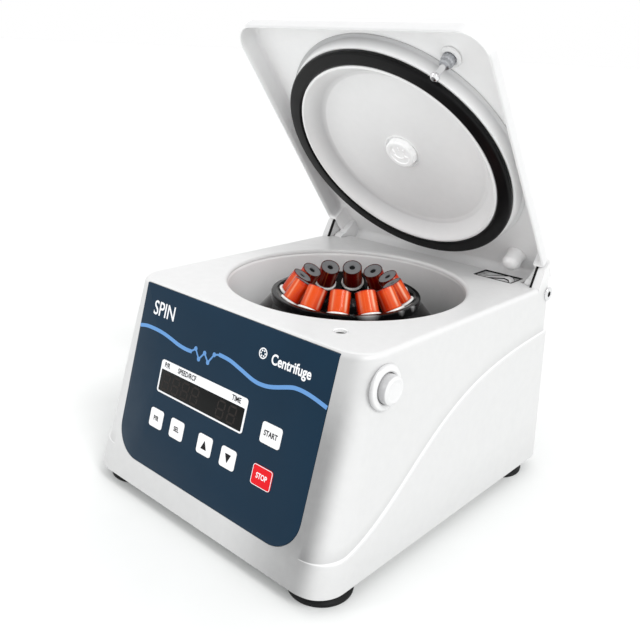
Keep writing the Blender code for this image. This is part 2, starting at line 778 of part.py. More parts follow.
def lid_release():
    face = side_x(BUTTON_Z)
    bezel = cylinder_x(BEZEL_RADIUS, face + 1.2, face + 3.6, BUTTON_Y, BUTTON_Z, 40, 15.2)
    bezel = make("button_bezel", bezel, "white")
    neck = cylinder_x(BUTTON_RADIUS + 1.6, face - 9, face + 2.4, BUTTON_Y, BUTTON_Z, 40)
    combine(bezel, make("bezel_neck", neck), "UNION")
    bore = cylinder_x(BUTTON_RADIUS + 0.4, face - 20, face + 9, BUTTON_Y, BUTTON_Z, 40)
    combine(bezel, make("bezel_bore", bore))
    tip = face + BUTTON_PROUD
    button = cylinder_x(BUTTON_RADIUS, face - 6, tip - 1.2, BUTTON_Y, BUTTON_Z, 32)
    button = make("release_button", button, "white")
    crown = cylinder_x(BUTTON_RADIUS, tip - 1.3, tip, BUTTON_Y, BUTTON_Z, 32, BUTTON_RADIUS - 1.3)
    combine(button, make("button_crown", crown), "UNION")
    stem = cylinder_x(4.0, face - 16, face - 5, BUTTON_Y, BUTTON_Z, 20)
    combine(button, make("button_stem", stem), "UNION")
    latch_slide(face - 16 - FIT)
    low = LATCH_TOP_Z - 8
    guide = block((64, 105), (64.5, 87.5), (low, LATCH_TOP_Z), 2)
    guide = make("latch_guide", guide, "dark_plastic")
    tunnel = block((50, 130), (67.0, 85.0), (LATCH_TOP_Z - 1.9, LATCH_TOP_Z + 2))
    combine(guide, make("latch_tunnel", tunnel))
    pass_hole = cylinder(6.0, low - 5, low + 10, (STRIKER_X, STRIKER_Y), 20)
    combine(guide, make("latch_pass_hole", pass_hole))


def latch_slide(outer_x):
    """A sliding plate: its narrow slot holds the striker's neck, its round hole frees it."""
    top, thick = LATCH_TOP_Z - 0.2, 1.4
    plate = block((70, outer_x), (67.6, 84.4), (top - thick, top))
    slide = make("latch_slide", plate, "zinc")
    tail = block((outer_x - 2, outer_x), (62, 72), (BUTTON_Z - 7, top - 0.1))
    combine(slide, make("latch_tail", tail), "UNION")
    slot = block((STRIKER_X - 2.9, STRIKER_X + 6), (73.1, 78.9), (150, 170))
    combine(slide, make("latch_slot", slot))
    wide = cylinder(4.9, 150, 170, (STRIKER_X + BUTTON_TRAVEL, STRIKER_Y), 20)
    combine(slide, make("latch_release_hole", wide))


def lid_switch():
    """A switch in the deck's slot, whose lever the lid's boss presses."""
    low = DECK_Z - 17
    body = block((63 - 3, 102 + 3), (286 - 3, 309 + 1.5), (low, DECK_Z - WALL - FIT))
    body = make("lid_switch_housing", body, "off_white")
    hollow = block((64, 101), (287, 308), (low + 3, DECK_Z))
    combine(body, make("switch_hollow", hollow))
    axis = empty("switch_lever_axis", (68.0, 295.0, DECK_Z - 4.2), CASING)
    outline = (
        (-2.0, -1.6),
        (2.0, -1.6),
        (16.0, 1.4),
        (26.0, 3.2),
        (30.0, 1.0),
        (31.4, 1.6),
        (29.0, 5.2),
        (25.0, 6.0),
        (14.0, 4.0),
        (0.0, 1.6),
        (-2.0, 0.6),
    )
    bm = prism([(x, z) for x, z in outline], -5.0, 5.0)
    stand = Matrix.Rotation(math.pi / 2, 4, "X")
    bmesh.ops.transform(bm, matrix=stand, verts=bm.verts)
    make("lid_switch_lever", bm, "off_white", axis)


# ---------------------------------------------------------------- power


def power():
    rear = CASE_DEPTH
    inlet = make("power_inlet", block((-96, -64), (rear + FIT, rear + 3), (20, 48)), "dark_plastic")
    body = block((-93.5, -66.5), (rear - 18, rear + 1), (22.5, 45.5))
    combine(inlet, make("inlet_body", body), "UNION")
    socket = block((-91.5, -68.5), (rear - 15, rear + 6), (26, 42), 0)
    combine(inlet, make("inlet_socket", socket))
    for x, z in ((-87, 32), (-80, 37), (-73, 32)):
        blade = block((x - 1, x + 1), (rear - 16, rear - 2), (z - 2.5, z + 2.5))
        combine(inlet, make("inlet_blade", blade), "UNION")
    frame = block((-48, -23), (rear + FIT, rear + 2.4), (18, 50), 0)
    frame = make("switch_frame", frame, "dark_plastic")
    sleeve = block((-45.5, -25.5), (rear - 14, rear + 1), (20.5, 47.5))
    combine(frame, make("switch_sleeve", sleeve), "UNION")
    well = block((-43.5, -27.5), (rear - 12, rear + 8), (22.5, 45.5))
    combine(frame, make("switch_well", well))
    axis = empty("power_switch_axis", (-35.5, rear - 2, 34), CASING)
    outline = (
        (1.5, -10.2),
        (6.7, -9.7),
        (4.2, 0.0),
        (3.8, 9.7),
        (-1.0, 10.2),
        (-4.5, 0.0),
    )
    rocker = prism(outline, -7.4, 7.4, "X")
    make("switch_rocker", rocker, "dark_plastic", axis)
    core = block((-120, -62), (242, 286), (BASE_THICKNESS + FIT, 50), 4)
    make("transformer", core, "steel")


main_housing()
base_and_feet()
panel_pieces()
chamber()
motor()
rotor()
tubes()
lid_pieces()
lid_release()
lid_switch()
power()
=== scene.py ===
"""The visual model of the benchtop centrifuge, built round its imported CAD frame.

Drawing code is in millimetres. Four local frames carry it into the row frame: CASE
starts at the middle of the casing's front bottom edge, LID is the lid's own frame as if
it were closed, PANEL lies in the sloped front, and ROTOR stands on the rotor's axis.
"""

import json
import math

import bmesh
import bpy
from mathutils import Matrix, Vector


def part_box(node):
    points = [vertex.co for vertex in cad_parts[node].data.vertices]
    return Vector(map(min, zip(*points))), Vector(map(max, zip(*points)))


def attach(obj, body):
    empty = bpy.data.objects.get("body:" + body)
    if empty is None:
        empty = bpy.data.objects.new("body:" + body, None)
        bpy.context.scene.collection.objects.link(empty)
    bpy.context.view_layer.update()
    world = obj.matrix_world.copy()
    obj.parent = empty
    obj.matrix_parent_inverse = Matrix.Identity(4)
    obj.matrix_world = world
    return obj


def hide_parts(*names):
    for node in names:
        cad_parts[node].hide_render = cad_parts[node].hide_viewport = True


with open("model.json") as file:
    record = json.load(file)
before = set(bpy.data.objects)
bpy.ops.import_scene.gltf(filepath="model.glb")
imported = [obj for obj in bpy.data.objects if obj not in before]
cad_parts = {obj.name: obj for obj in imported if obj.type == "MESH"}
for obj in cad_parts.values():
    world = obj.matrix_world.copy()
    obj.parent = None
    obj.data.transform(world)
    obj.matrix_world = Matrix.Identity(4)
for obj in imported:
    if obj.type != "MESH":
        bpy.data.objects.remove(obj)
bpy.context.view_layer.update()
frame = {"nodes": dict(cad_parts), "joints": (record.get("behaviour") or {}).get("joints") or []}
JOINTS = {joint["name"]: joint for joint in frame["joints"]}

MM = 0.001
TINY = 1e-6
BUMP_DEPTH = 0.0001
ALMOST_STRAIGHT = 0.02
DECK_Z = 168.0
DEPTH = 314.0
SETBACK = 45.3
SLOPE = math.atan2(SETBACK, DECK_Z)
LEDGE = 2.5
BOTTOM_HALF = 137.5
DECK_HALF = 129.0
WALL = 3.0
EDGE = 4.2
CHEEK_X = 120.0
CHAMBER_Y = 177.8
OPENING = 104.5
HINGE_Y, HINGE_Z = 305.0, 161.0
BUTTON = (67.0, 143.0)
STRIKER = (81.0, 76.0)
TUBES = 12
TILT = math.radians(32.5)
TUBE_RING, TUBE_TOP = 39.4, DECK_Z + 0.9
FIRST_TUBE = math.radians(213.0)
CAP_LENGTH = 19.5


def frames():
    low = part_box("main_housing")[0]
    case = Matrix.Translation((0, low.y, low.z))
    hinge = JOINTS["lid_hinge"]
    turned = Matrix.Rotation(math.radians(hinge["range_deg"][0]), 4, "X")
    lid = Matrix.Translation(hinge["pos_m"]) @ turned
    panel = case @ Matrix.Rotation(math.pi / 2 - SLOPE, 4, "X")
    axis = Vector(JOINTS["rotor_spin"]["pos_m"])
    rotor = Matrix.Translation((axis.x, axis.y, low.z))
    return case, lid, panel, rotor


CASE, LID, PANEL, ROTOR = frames()


# ---------------------------------------------------------------- materials


def new_material(name, colour, roughness, metallic=0.0, **sockets):
    made = bpy.data.materials.new(name)
    made.use_nodes = True
    shader = made.node_tree.nodes["Principled BSDF"]
    fill(made.node_tree, shader, Base_Color=(*colour, 1), Roughness=roughness, Metallic=metallic, **sockets)
    return made, made.node_tree, shader


def fill(tree, node, **inputs):
    """Fills a shader node's inputs, each from a value or from the socket that feeds it."""
    for name, value in inputs.items():
        socket = node.inputs[name.replace("_", " ")]
        if isinstance(value, bpy.types.NodeSocket):
            tree.links.new(value, socket)
        else:
            socket.default_value = value


def add_node(tree, kind, settings=(), **inputs):
    node = tree.nodes.new("ShaderNode" + kind)
    for name, value in settings:
        setattr(node, name, value)
    fill(tree, node, **inputs)
    return node


def attribute_of(tree, name):
    return add_node(tree, "Attribute", [("attribute_name", name)]).outputs["Fac"]


def noise_of(tree, scale, detail=3.0, stretch=None):
    """A noise texture in the piece's own coordinates, optionally stretched along an axis."""
    source = add_node(tree, "TexCoord").outputs["Object"]
    if stretch:
        source = add_node(tree, "Mapping", Vector=source, Scale=stretch).outputs["Vector"]
    return add_node(tree, "TexNoise", Vector=source, Scale=scale, Detail=detail).outputs["Fac"]


def rgb(colour):
    """A colour, or the grey that one number means."""
    return colour if isinstance(colour, tuple) else (colour,) * 3


def ramp_of(tree, source, stops):
    stops = [(position, (*rgb(colour), 1)) for position, colour in stops]
    ramp = tree.nodes.new("ShaderNodeValToRGB")
    ramp.color_ramp.elements[0].position, ramp.color_ramp.elements[0].color = stops[0]
    ramp.color_ramp.elements[1].position, ramp.color_ramp.elements[1].color = stops[-1]
    for position, colour in stops[1:-1]:
        ramp.color_ramp.elements.new(position).color = colour
    tree.links.new(source, ramp.inputs["Fac"])
    return ramp.outputs["Color"]


def ranged(tree, source, low, high):
    limits = {"From_Min": 0.3, "From_Max": 0.7, "To_Min": low, "To_Max": high}
    return add_node(tree, "MapRange", Value=source, **limits).outputs["Result"]


def bump(tree, shader, source, strength):
    node = add_node(tree, "Bump", Height=source, Strength=strength, Distance=BUMP_DEPTH)
    fill(tree, shader, Normal=node.outputs["Normal"])


def surface(
    name, colour, roughness, metallic=0.0, mottle=0.03, grain=0.12, grain_scale=1400, spread=0.05,
    stretch=None, **sockets,
):
    """A moulded, painted or turned surface: faint cloudy colour, uneven gloss and a fine grain."""
    made, tree, shader = new_material(name, colour, roughness, metallic, **sockets)
    cloud = noise_of(tree, 22, 4)
    dark = tuple(c * (1 - mottle) for c in colour)
    light = tuple(min(1, c * (1 + mottle)) for c in colour)
    low, high = max(0.02, roughness - spread), min(1, roughness + spread)
    clouded = ramp_of(tree, cloud, [(0.3, dark), (0.7, light)])
    fill(tree, shader, Base_Color=clouded, Roughness=ranged(tree, noise_of(tree, 60, 5), low, high))
    bump(tree, shader, noise_of(tree, grain_scale, 2, stretch), grain)
    return made


def toned(name, stops, roughness, grain=0.1, **sockets):
    """A surface whose colour follows the mesh's own tone attribute, from 0 to 1."""
    made, tree, shader = new_material(name, rgb(stops[0][1]), roughness, **sockets)
    cloud = noise_of(tree, 140, 3)
    shifted = add_node(tree, "Math", [("operation", "MULTIPLY_ADD")])
    shifted.inputs[1].default_value = 0.06
    tree.links.new(cloud, shifted.inputs[0])
    tree.links.new(attribute_of(tree, "tone"), shifted.inputs[2])
    gloss = ranged(tree, noise_of(tree, 90), roughness * 0.8, roughness * 1.25)
    fill(tree, shader, Base_Color=ramp_of(tree, shifted.outputs[0], stops), Roughness=gloss)
    bump(tree, shader, noise_of(tree, 1800, 2), grain)
    return made


FLOOR_GLOW = {"Emission_Color": (1, 1, 1, 1), "Emission_Strength": 0.03, "Specular_IOR_Level": 0.1}
CASING_SHADES = [(0.0, (0.20, 0.20, 0.202)), (0.5, (0.61, 0.612, 0.612)), (1.0, 0.93)]
SHADES = [(0.0, (0.30, 0.30, 0.31)), (0.5, (0.61, 0.61, 0.615)), (1.0, 0.95)]


def cap_material():
    """Orange closure plastic: painted shade towards the rotor's middle, pale streaks, a painted highlight.
    """
    shades = [
        (0.0, (0.040, 0.0006, 0.0006)), (0.34, (0.16, 0.0012, 0.0008)), (0.6, (0.42, 0.012, 0.0008)),
        (0.85, (0.60, 0.034, 0.0008)), (1.0, (0.74, 0.072, 0.0024)),
    ]
    coat = {"Specular_IOR_Level": 0.2, "Coat_Weight": 0.12, "Coat_Roughness": 0.05}
    made = toned("cap_orange", shades, 0.24, **coat)
    tree = made.node_tree
    shader = tree.nodes["Principled BSDF"]
    before = shader.inputs["Base Color"].links[0].from_socket
    line = [("noise_dimensions", "1D")]
    streaks = add_node(tree, "TexNoise", line, W=attribute_of(tree, "turn"), Scale=4.2, Detail=3.0)
    share = ramp_of(tree, streaks.outputs["Fac"], [(0.56, 0), (0.72, 1)])
    screen = [("data_type", "RGBA"), ("blend_type", "SCREEN")]
    mix = add_node(tree, "Mix", screen, Factor=share, A=before, B=(0.25, 0.075, 0.022, 1))
    # painted highlight: the shine attribute mixes a pale gleam into the orange
    shine, pale = attribute_of(tree, "shine"), (0.95, 0.60, 0.42, 1)
    glint = add_node(tree, "Mix", screen[:1], Factor=shine, A=mix.outputs["Result"], B=pale)
    fill(tree, shader, Base_Color=glint.outputs["Result"])
    return made


def make_materials():
    gloss = {"Coat_Weight": 0.35, "Coat_Roughness": 0.15}
    dull = {"Specular_IOR_Level": 0.16}
    smooth = {"mottle": 0.008, "grain": 0.03, "spread": 0.015}
    return {
        "casing": toned("casing_white", CASING_SHADES, 0.36, 0.02, Coat_Weight=0.25, Coat_Roughness=0.3),
        "lid": surface("lid_white", (0.80, 0.80, 0.80), 0.36, **smooth, **gloss),
        "cover": toned("cover_white", SHADES, 0.36, 0.03, **gloss),
        "liner": toned("liner_white", SHADES, 0.36, 0.03, **gloss),
        "port": surface("port_white", (0.92, 0.92, 0.92), 0.34, **smooth, **gloss),
        # painted light: the plug glows faintly, which brightens it in the lid's shade
        "plug": surface(
            "plug_white", (0.95, 0.95, 0.95), 0.34, **smooth, Emission_Color=(1, 1, 1, 1),
            Emission_Strength=0.1,
        ),
        "button": toned("button_white", SHADES, 0.3, 0.03, **gloss),
        "panel": surface(
            "panel_navy", (0.0018, 0.0200, 0.0440), 0.36, mottle=0.05, grain_scale=2600, **dull
        ),
        "stripe": surface("stripe_blue", (0.125, 0.295, 0.600), 0.45, mottle=0.06, grain=0.15, **dull),
        "print_white": surface("print_white", (0.86, 0.87, 0.89), 0.5, mottle=0.03, grain=0.2),
        "print_black": surface("print_black", (0.006, 0.006, 0.007), 0.5, mottle=0.1, grain=0.2, **dull),
        "key_white": surface("key_white", (0.88, 0.88, 0.89), 0.4, mottle=0.015, spread=0.02),
        "key_red": surface("key_red", (0.72, 0.005, 0.012), 0.38, mottle=0.04, **dull),
        "window": surface("window_black", (0.0022, 0.0026, 0.0026), 0.14, mottle=0.2, grain=0.02, **dull),
        "digit": surface("digit_dark", (0.016, 0.012, 0.011), 0.45, mottle=0.15, grain=0.05, **dull),
        "rubber": surface(
            "rubber_black", (0.0022, 0.0022, 0.0026), 0.36, mottle=0.2, grain_scale=900, **dull
        ),
        "foot": surface(
            "foot_rubber", (0.008, 0.0085, 0.009), 0.55, mottle=0.25, grain=0.4, grain_scale=800, **dull
        ),
        "rotor": toned(
            "rotor_black", [(0.0, (0.0016, 0.0016, 0.0018)), (0.1, (0.0022, 0.0022, 0.0024)), (1.0, 0.80)],
            0.10, 0.02, Specular_IOR_Level=0.11,
        ),
        "nut": surface("nut_black", (0.008, 0.008, 0.009), 0.35, mottle=0.2, **dull),
        "collar": surface("collar_white", (0.84, 0.84, 0.82), 0.3, mottle=0.03, **gloss),
        "stopper": surface(
            "stopper_grey", (0.160, 0.160, 0.164), 0.6, mottle=0.10, grain=0.35, grain_scale=1100, **dull
        ),
        "hole": surface("hole_black", (0.003, 0.003, 0.003), 0.6, mottle=0.3, **dull),
        "chrome": surface("chrome", (0.80, 0.80, 0.81), 0.10, 1.0, mottle=0.04, grain=0.02),
        "steel": surface(
            "steel", (0.42, 0.43, 0.45), 0.34, 1.0, mottle=0.08, grain=0.2, stretch=(1, 1, 12)
        ),
        "zinc": surface("zinc", (0.55, 0.56, 0.55), 0.42, 1.0, mottle=0.12, grain=0.25),
        "black": surface("black_plastic", (0.010, 0.010, 0.011), 0.42, mottle=0.15, grain=0.3, **dull),
        "board": surface("board_green", (0.015, 0.12, 0.05), 0.45, mottle=0.15, grain=0.2),
        "cap": cap_material(),
        "tube": toned(
            "tube_wall",
            [
                (0.0, (0.10, 0.004, 0.004)), (0.45, (0.20, 0.012, 0.010)), (0.5, (0.70, 0.70, 0.68)),
                (1.0, (0.78, 0.78, 0.77)),
            ],
            0.2, Coat_Weight=0.7,
        ),
        "bowl": toned("bowl_grey", [(0.0, 0.20), (0.5, 0.60), (1.0, 0.97)], 0.4, Coat_Weight=0.2),
        "floor": surface("floor_white", (0.80, 0.81, 0.805), 0.7, **smooth, **FLOOR_GLOW),
    }


MATERIALS = make_materials()


# ---------------------------------------------------------------- meshes


def add_object(name, data):
    obj = bpy.data.objects.new(name, data)
    bpy.context.scene.collection.objects.link(obj)
    return obj


def put(name, bm, place, body, look, stands_for=(), slot=None, sharp=32, **values):
    """A piece of the visual model, from a mesh drawn in millimetres in one of the frames.

    Each further keyword names a mesh attribute and the rule that gives it at a point.
    """
    for value, rule in values.items():
        layer = bm.verts.layers.float.new(value)
        for vert in bm.verts:
            vert[layer] = rule(vert.co)
    bmesh.ops.transform(bm, matrix=place @ Matrix.Scale(MM, 4), verts=bm.verts)
    mesh = bpy.data.meshes.new(name)
    bm.to_mesh(mesh)
    bm.free()
    mesh.shade_smooth()
    mesh.set_sharp_from_angle(angle=math.radians(sharp))
    obj = add_object(name, mesh)
    mesh.materials.append(MATERIALS[look])
    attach(obj, body)
    if stands_for:
        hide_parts(*stands_for)
    return obj


def cutter(bm):
    """A helper object in casing millimetres, for a Boolean."""
    mesh = bpy.data.meshes.new("cutter")
    bm.to_mesh(mesh)
    bm.free()
    return add_object("cutter", mesh)


def carve(bm, *cuts, joins=(), within=None):
    """Runs Booleans on a mesh: it joins meshes on and cuts others away, or keeps what lies within one."""
    steps = [("UNION", other) for other in joins] + [("DIFFERENCE", other) for other in cuts]
    if within:
        steps = [("INTERSECT", within)]
    subject = cutter(bm)
    helpers = []
    for operation, other in steps:
        helper = cutter(other)
        helpers.append(helper)
        modifier = subject.modifiers.new(operation, "BOOLEAN")
        modifier.operation = operation
        modifier.solver = "EXACT"
        modifier.object = helper
    bpy.context.view_layer.update()
    graph = bpy.context.evaluated_depsgraph_get()
    result = bmesh.new()
    result.from_object(subject, graph)
    for obj in (subject, *helpers):
        mesh = obj.data
        bpy.data.objects.remove(obj)
        bpy.data.meshes.remove(mesh)
    return result


def polar(radius, angle, centre=(0, 0)):
    return centre[0] + radius * math.cos(angle), centre[1] + radius * math.sin(angle)


def fillet(points, radius, steps=5, closed=False):
    """Rounds the corners of a drawn line. A radius may be one number or one for each point."""
    count = len(points)
    radii = radius if isinstance(radius, (list, tuple)) else [radius] * count
    out = []
    for i, point in enumerate(points):
        here = Vector(point)
        before = Vector(points[i - 1]) - here
        after = Vector(points[(i + 1) % count]) - here
        rounds = radii[i] > 0 and (closed or 0 < i < count - 1) and min(before.length, after.length) > TINY
        half = before.angle(after) / 2 if rounds else math.pi / 2
        if half > math.pi / 2 - ALMOST_STRAIGHT:
            out.append(tuple(here))
            continue
        reach = min(radii[i] / math.tan(half), before.length * 0.48, after.length * 0.48)
        size = reach * math.tan(half)
        bisector = (before.normalized() + after.normalized()).normalized()
        centre = here + bisector * (size / math.sin(half))
        start = here + before.normalized() * reach - centre
        end = here + after.normalized() * reach - centre
        sweep = start.angle_signed(end)
        for step in range(steps + 1):
            out.append(tuple(centre + Matrix.Rotation(-sweep * step / steps, 2) @ start))
    return out


def spin(profile, steps=96, closed=False):
    """A turned solid. The profile holds (radius, height), and its ends lie on the axis unless closed."""
    bm = bmesh.new()
    rows = []
    for radius, height in profile:
        if radius < TINY:
            rows.append([bm.verts.new((0, 0, height))])
            continue
        ring = [(*polar(radius, 2 * math.pi * k / steps), height) for k in range(steps)]
        rows.append([bm.verts.new(point) for point in ring])
    pairs = list(zip(rows, rows[1:]))
    if closed:
        pairs.append((rows[-1], rows[0]))
    for upper, lower in pairs:
        for k in range(steps):
            j = (k + 1) % steps
            corners = [
                upper[k % len(upper)], lower[k % len(lower)], lower[j % len(lower)], upper[j % len(upper)]
            ]
            unique = list(dict.fromkeys(corners))
            if len(unique) > 2:
                bm.faces.new(unique)
    bmesh.ops.recalc_face_normals(bm, faces=bm.faces)
    return bm


def loft(rings, tube=False):
    """A skin over rings of points. Its ends are capped, or in a tube they meet."""
    bm = bmesh.new()
    rows = [[bm.verts.new(point) for point in ring] for ring in rings]
    for lower, upper in zip(rows, rows[1:] + (rows[:1] if tube else [])):
        for i in range(len(lower)):
            j = (i + 1) % len(lower)
            bm.faces.new((lower[i], lower[j], upper[j], upper[i]))
    if not tube:
        bm.faces.new(list(reversed(rows[0])))
        bm.faces.new(rows[-1])
    bmesh.ops.recalc_face_normals(bm, faces=bm.faces)
    return bm


def rounded(left, right, low, high, radius, steps=8):
    """A rounded rectangle, counter-clockwise. It takes one radius, or four from the lower right."""
    radii = radius if isinstance(radius, (list, tuple)) else [radius] * 4
    corners = (
        (right, low, 1, -1, -90), (right, high, 1, 1, 0), (left, high, -1, 1, 90), (left, low, -1, -1, 180)
    )
    points = []
    for (x, y, sx, sy, start), r in zip(corners, radii):
        for step in range(steps + 1):
            angle = math.radians(start + 90 * step / steps)
            points.append(polar(r, angle, (x - sx * r, y - sy * r)))
    return points


def scaled_outline(outline, inset):
    """The same closed outline moved in by an inset along its own normals."""
    out = []
    count = len(outline)
    for i in range(count):
        here = Vector(outline[i])
        first = here - Vector(outline[i - 1])
        second = Vector(outline[(i + 1) % count]) - here
        if first.length < TINY:
            first = second
        if second.length < TINY:
            second = first
        first, second = first.normalized(), second.normalized()
        normal = Vector((first.y + second.y, -first.x - second.x)).normalized()
        facing = max(0.4, normal.dot(Vector((first.y, -first.x))))
        out.append(tuple(here - normal * (inset / facing)))
    return out


def at_height(outline, z):
    return [(x, y, z) for x, y in outline]


def rolled(outline, edge, high, steps, inward=1):
    """Rings over a rounded edge, from the wall up to a level."""
    rings = []
    for step in range(steps + 1):
        angle = math.pi / 2 * step / steps
        ring = scaled_outline(outline, inward * edge * (1 - math.cos(angle)))
        rings.append(at_height(ring, high - edge * (1 - math.sin(angle))))
    return rings


def slab(outline, low, high, edge=0.0, steps=3, both=False):
    """A flat piece with its upper edge, and optionally its lower edge, rounded over."""
    base = [at_height(outline, low)]
    if both and edge:
        base = [[(x, y, low - z) for x, y, z in ring] for ring in rolled(outline, edge, 0, steps)[::-1]]
    top = rolled(outline, edge, high, steps) if edge else [at_height(outline, high)]
    return loft(base + top)


def lobed(bm, radius, low):
    """Gives a turned piece a dozen lobes outside a radius and above a height."""
    for vert in bm.verts:
        if vert.co.xy.length > radius and vert.co.z > low:
            grow = 1 + 0.05 * math.cos(math.atan2(vert.co.y, vert.co.x) * 12)
            vert.co.x *= grow
            vert.co.y *= grow
    return bm


def moved(bm, matrix):
    bmesh.ops.transform(bm, matrix=matrix, verts=bm.verts)
    return bm


def block(x, y, z, radius=0.0):
    return slab(rounded(x[0], x[1], y[0], y[1], max(radius, 0.01)), z[0], z[1])


def joined(*parts):
    """Several meshes as one, without fusing them."""
    whole = bmesh.new()
    for part in parts:
        mesh = bpy.data.meshes.new("part")
        part.to_mesh(mesh)
        part.free()
        whole.from_mesh(mesh)
        bpy.data.meshes.remove(mesh)
    return whole


def placed(place, turn):
    """A frame for a piece in millimetres that is turned within another frame."""
    return place @ Matrix.Scale(MM, 4) @ turn @ Matrix.Scale(1 / MM, 4)


def along_x(y, z, side=1):
    """Turns a piece drawn up +Z so that it points along +X, or -X, from a point."""
    return Matrix.Translation((0, y, z)) @ Matrix.Rotation(side * math.pi / 2, 4, "Y")


def shifted(place, x, y):
    return place @ Matrix.Translation((x * MM, y * MM, 0))


def smoothstep(low, high, value):
    t = min(1.0, max(0.0, (value - low) / (high - low)))
    return t * t * (3 - 2 * t)


def between(rise, full, fade, gone, value):
    """1 from full to fade, and 0 before rise and past gone."""
    return smoothstep(rise, full, value) * (1 - smoothstep(fade, gone, value))


def towards(co, degrees):
    """1 on the side of the axis that lies in a direction, and 0 on the far side."""
    return 0.5 + 0.5 * math.cos(math.atan2(co.y, co.x) - math.radians(degrees))


def bell(degrees, centre, width):
    """A soft peak round a direction."""
    return math.exp(-((((degrees - centre + 180) % 360 - 180) / width) ** 2))


# ---------------------------------------------------------------- casing


def half_width(z):
    return DECK_HALF + (BOTTOM_HALF - DECK_HALF) * (1 - z / DECK_Z)


def perimeter():
    """Places round the casing's outline: each is a corner angle or a step along a side."""
    spots = []
    spots += [("corner", 1, -1, -90 + 90 * k / 14) for k in range(15)]
    spots += [("side", 1, k / 48) for k in range(1, 48)]
    spots += [("corner", 1, 1, 90 * k / 10) for k in range(11)]
    spots += [("rear", 1 - 2 * k / 12) for k in range(1, 12)]
    spots += [("corner", -1, 1, 90 + 90 * k / 10) for k in range(11)]
    spots += [("side", -1, 1 - k / 48) for k in range(1, 48)]
    spots += [("corner", -1, -1, 180 + 90 * k / 14) for k in range(15)]
    spots += [("front", -1 + 2 * k / 12) for k in range(1, 12)]
    return spots


def on_outline(spot, z, inset=0.0):
    half = half_width(z) - inset
    front = SETBACK * z / DECK_Z + inset / math.cos(SLOPE)
    rear = DEPTH - inset
    near, far = 25.0 - inset, 12.0 - inset
    if spot[0] == "corner":
        _, sx, sy, angle = spot
        radius = near if sy < 0 else far
        y = front + radius if sy < 0 else rear - radius
        return polar(radius, math.radians(angle), (sx * (half - radius), y))
    if spot[0] == "side":
        return spot[1] * half, front + near + (rear - far - front - near) * spot[2]
    if spot[0] == "rear":
        return spot[1] * (half - far), rear
    return spot[1] * (half - near), front


def ledge_height(y):
    reach = max(y, 0.0) / 118.0
    return 24.0 + 107.0 * reach**3.2 / (1 + reach**3.2)


def casing_rows(spot):
    """One spot's points from the bottom edge up to the deck, over the moulded ledge."""
    y = on_outline(spot, 60)[1]
    height = ledge_height(y if spot[0] != "rear" else DEPTH)
    heights = [(0.0, 0.7, 1.0), (0.25, 0.2, 1.0), (1.0, 0.0, 1.0)]
    heights += [(1.0 + (height - 3.2) * k / 8, 0.0, 1.0) for k in range(1, 9)]
    step = [
        (-1.3, 0.99), (-0.75, 0.95), (-0.35, 0.84), (-0.1, 0.66), (0.05, 0.4), (0.25, 0.17), (0.6, 0.04),
        (1.2, 0.0),
    ]
    heights += [(height + dz, 0.0, share) for dz, share in step]
    top = DECK_Z - EDGE
    start = height + 1.2
    heights += [(start + (top - start) * k / 14, 0.0, 0.0) for k in range(1, 15)]
    for k in range(1, 9):
        angle = math.pi / 2 * k / 8
        heights.append((top + EDGE * math.sin(angle), EDGE * (1 - math.cos(angle)), 0.0))
    points = []
    for z, inset, share in heights:
        x, y = on_outline(spot, z, inset)
        proud = LEDGE * share * smoothstep(112, 127, abs(x))
        points.append((x + math.copysign(proud, x), y, z))
    return points


def casing_shell():
    """Outer skin, deck and inner skin as one closed shell, open underneath."""
    spots = perimeter()
    outer = [casing_rows(spot) for spot in spots]
    rings = [[column[row] for column in outer] for row in range(len(outer[0]))]
    top = DECK_Z - WALL
    inner = []
    for z, inset in ((top, WALL + 2.5), (top - 0.8, WALL + 0.8), (top - 3, WALL), (60, WALL), (0.0, WALL)):
        inner.append([(*on_outline(spot, z, inset), z) for spot in spots])
    return loft([*inner, *rings])


def cheek(side):
    """An upright ear at a rear corner, flush with the casing's side."""
    spots = perimeter()
    rings = [[(*on_outline(spot, z, 0.1), z) for spot in spots] for z in (DECK_Z - 12, 176, 200)]
    outline = fillet(
        [
            (288.4, DECK_Z - 8), (288.4, DECK_Z + 0.5), (296.1, 184.4), (304.0, 190.2), (DEPTH + 5, 190.2),
            (DEPTH + 5, DECK_Z - 8),
        ],
        [0, 0, 5, 5, 0, 0], closed=True,
    )
    ends = (CHEEK_X, 150.0)
    area = loft([[(side * x, y, z) for y, z in outline] for x in ends])
    return carve(loft(rings), within=area)


def flared(outline, low, high, lip):
    """A cutter that leaves a rounded lip where it comes out at z = high."""
    mouth = at_height(scaled_outline(outline, -lip), high + 4)
    return loft([at_height(outline, low), *rolled(outline, lip, high, 4, -1), mouth])


def circle(radius, steps=96, centre=(0, 0)):
    return [polar(radius, 2 * math.pi * k / steps, centre) for k in range(steps)]


def panel_outline(grow=0.0):
    radius = 27.0 + grow
    return rounded(-107.5 - grow, 107.5 + grow, 22.5 - grow, 172.5 + grow, [radius, 0.8, 0.8, radius], 14)


def casing_tone(co):
    """Painted shade beside the panel, at the foot of the walls and over the ledge; painted light on its
    step and the deck's edge.
    """
    x, y, z = co
    front, back = SETBACK * z / DECK_Z, DEPTH - 12
    level = SETBACK * 60 / DECK_Z + 25
    along = y - front - 25
    along = level + along if along < 0 else level + (back - level) * along / (back - front - 25)
    tone = 0.51 - 0.06 * (1 - smoothstep(0, 50, z)) + 0.13 * smoothstep(DECK_Z - EDGE, DECK_Z - 0.3, z)
    if y < front + 25.5 and z < DECK_Z - 0.5:
        beside = between(30, 111, 115, 131, x)
        face = 1 - smoothstep(0, 12, y - front)
        fade = (1 - 0.55 * smoothstep(95, 160, z)) * (0.7 + 0.3 * smoothstep(10, 40, z))
        tone -= 0.46 * beside * fade + 0.03 * face
    if abs(x) > 114:
        over = z - ledge_height(along)
        if -0.15 < over < 0.5:
            tone += 0.26
        elif 0.5 <= over < 10:
            tone -= 0.10 * (1 - over / 10)
    return tone


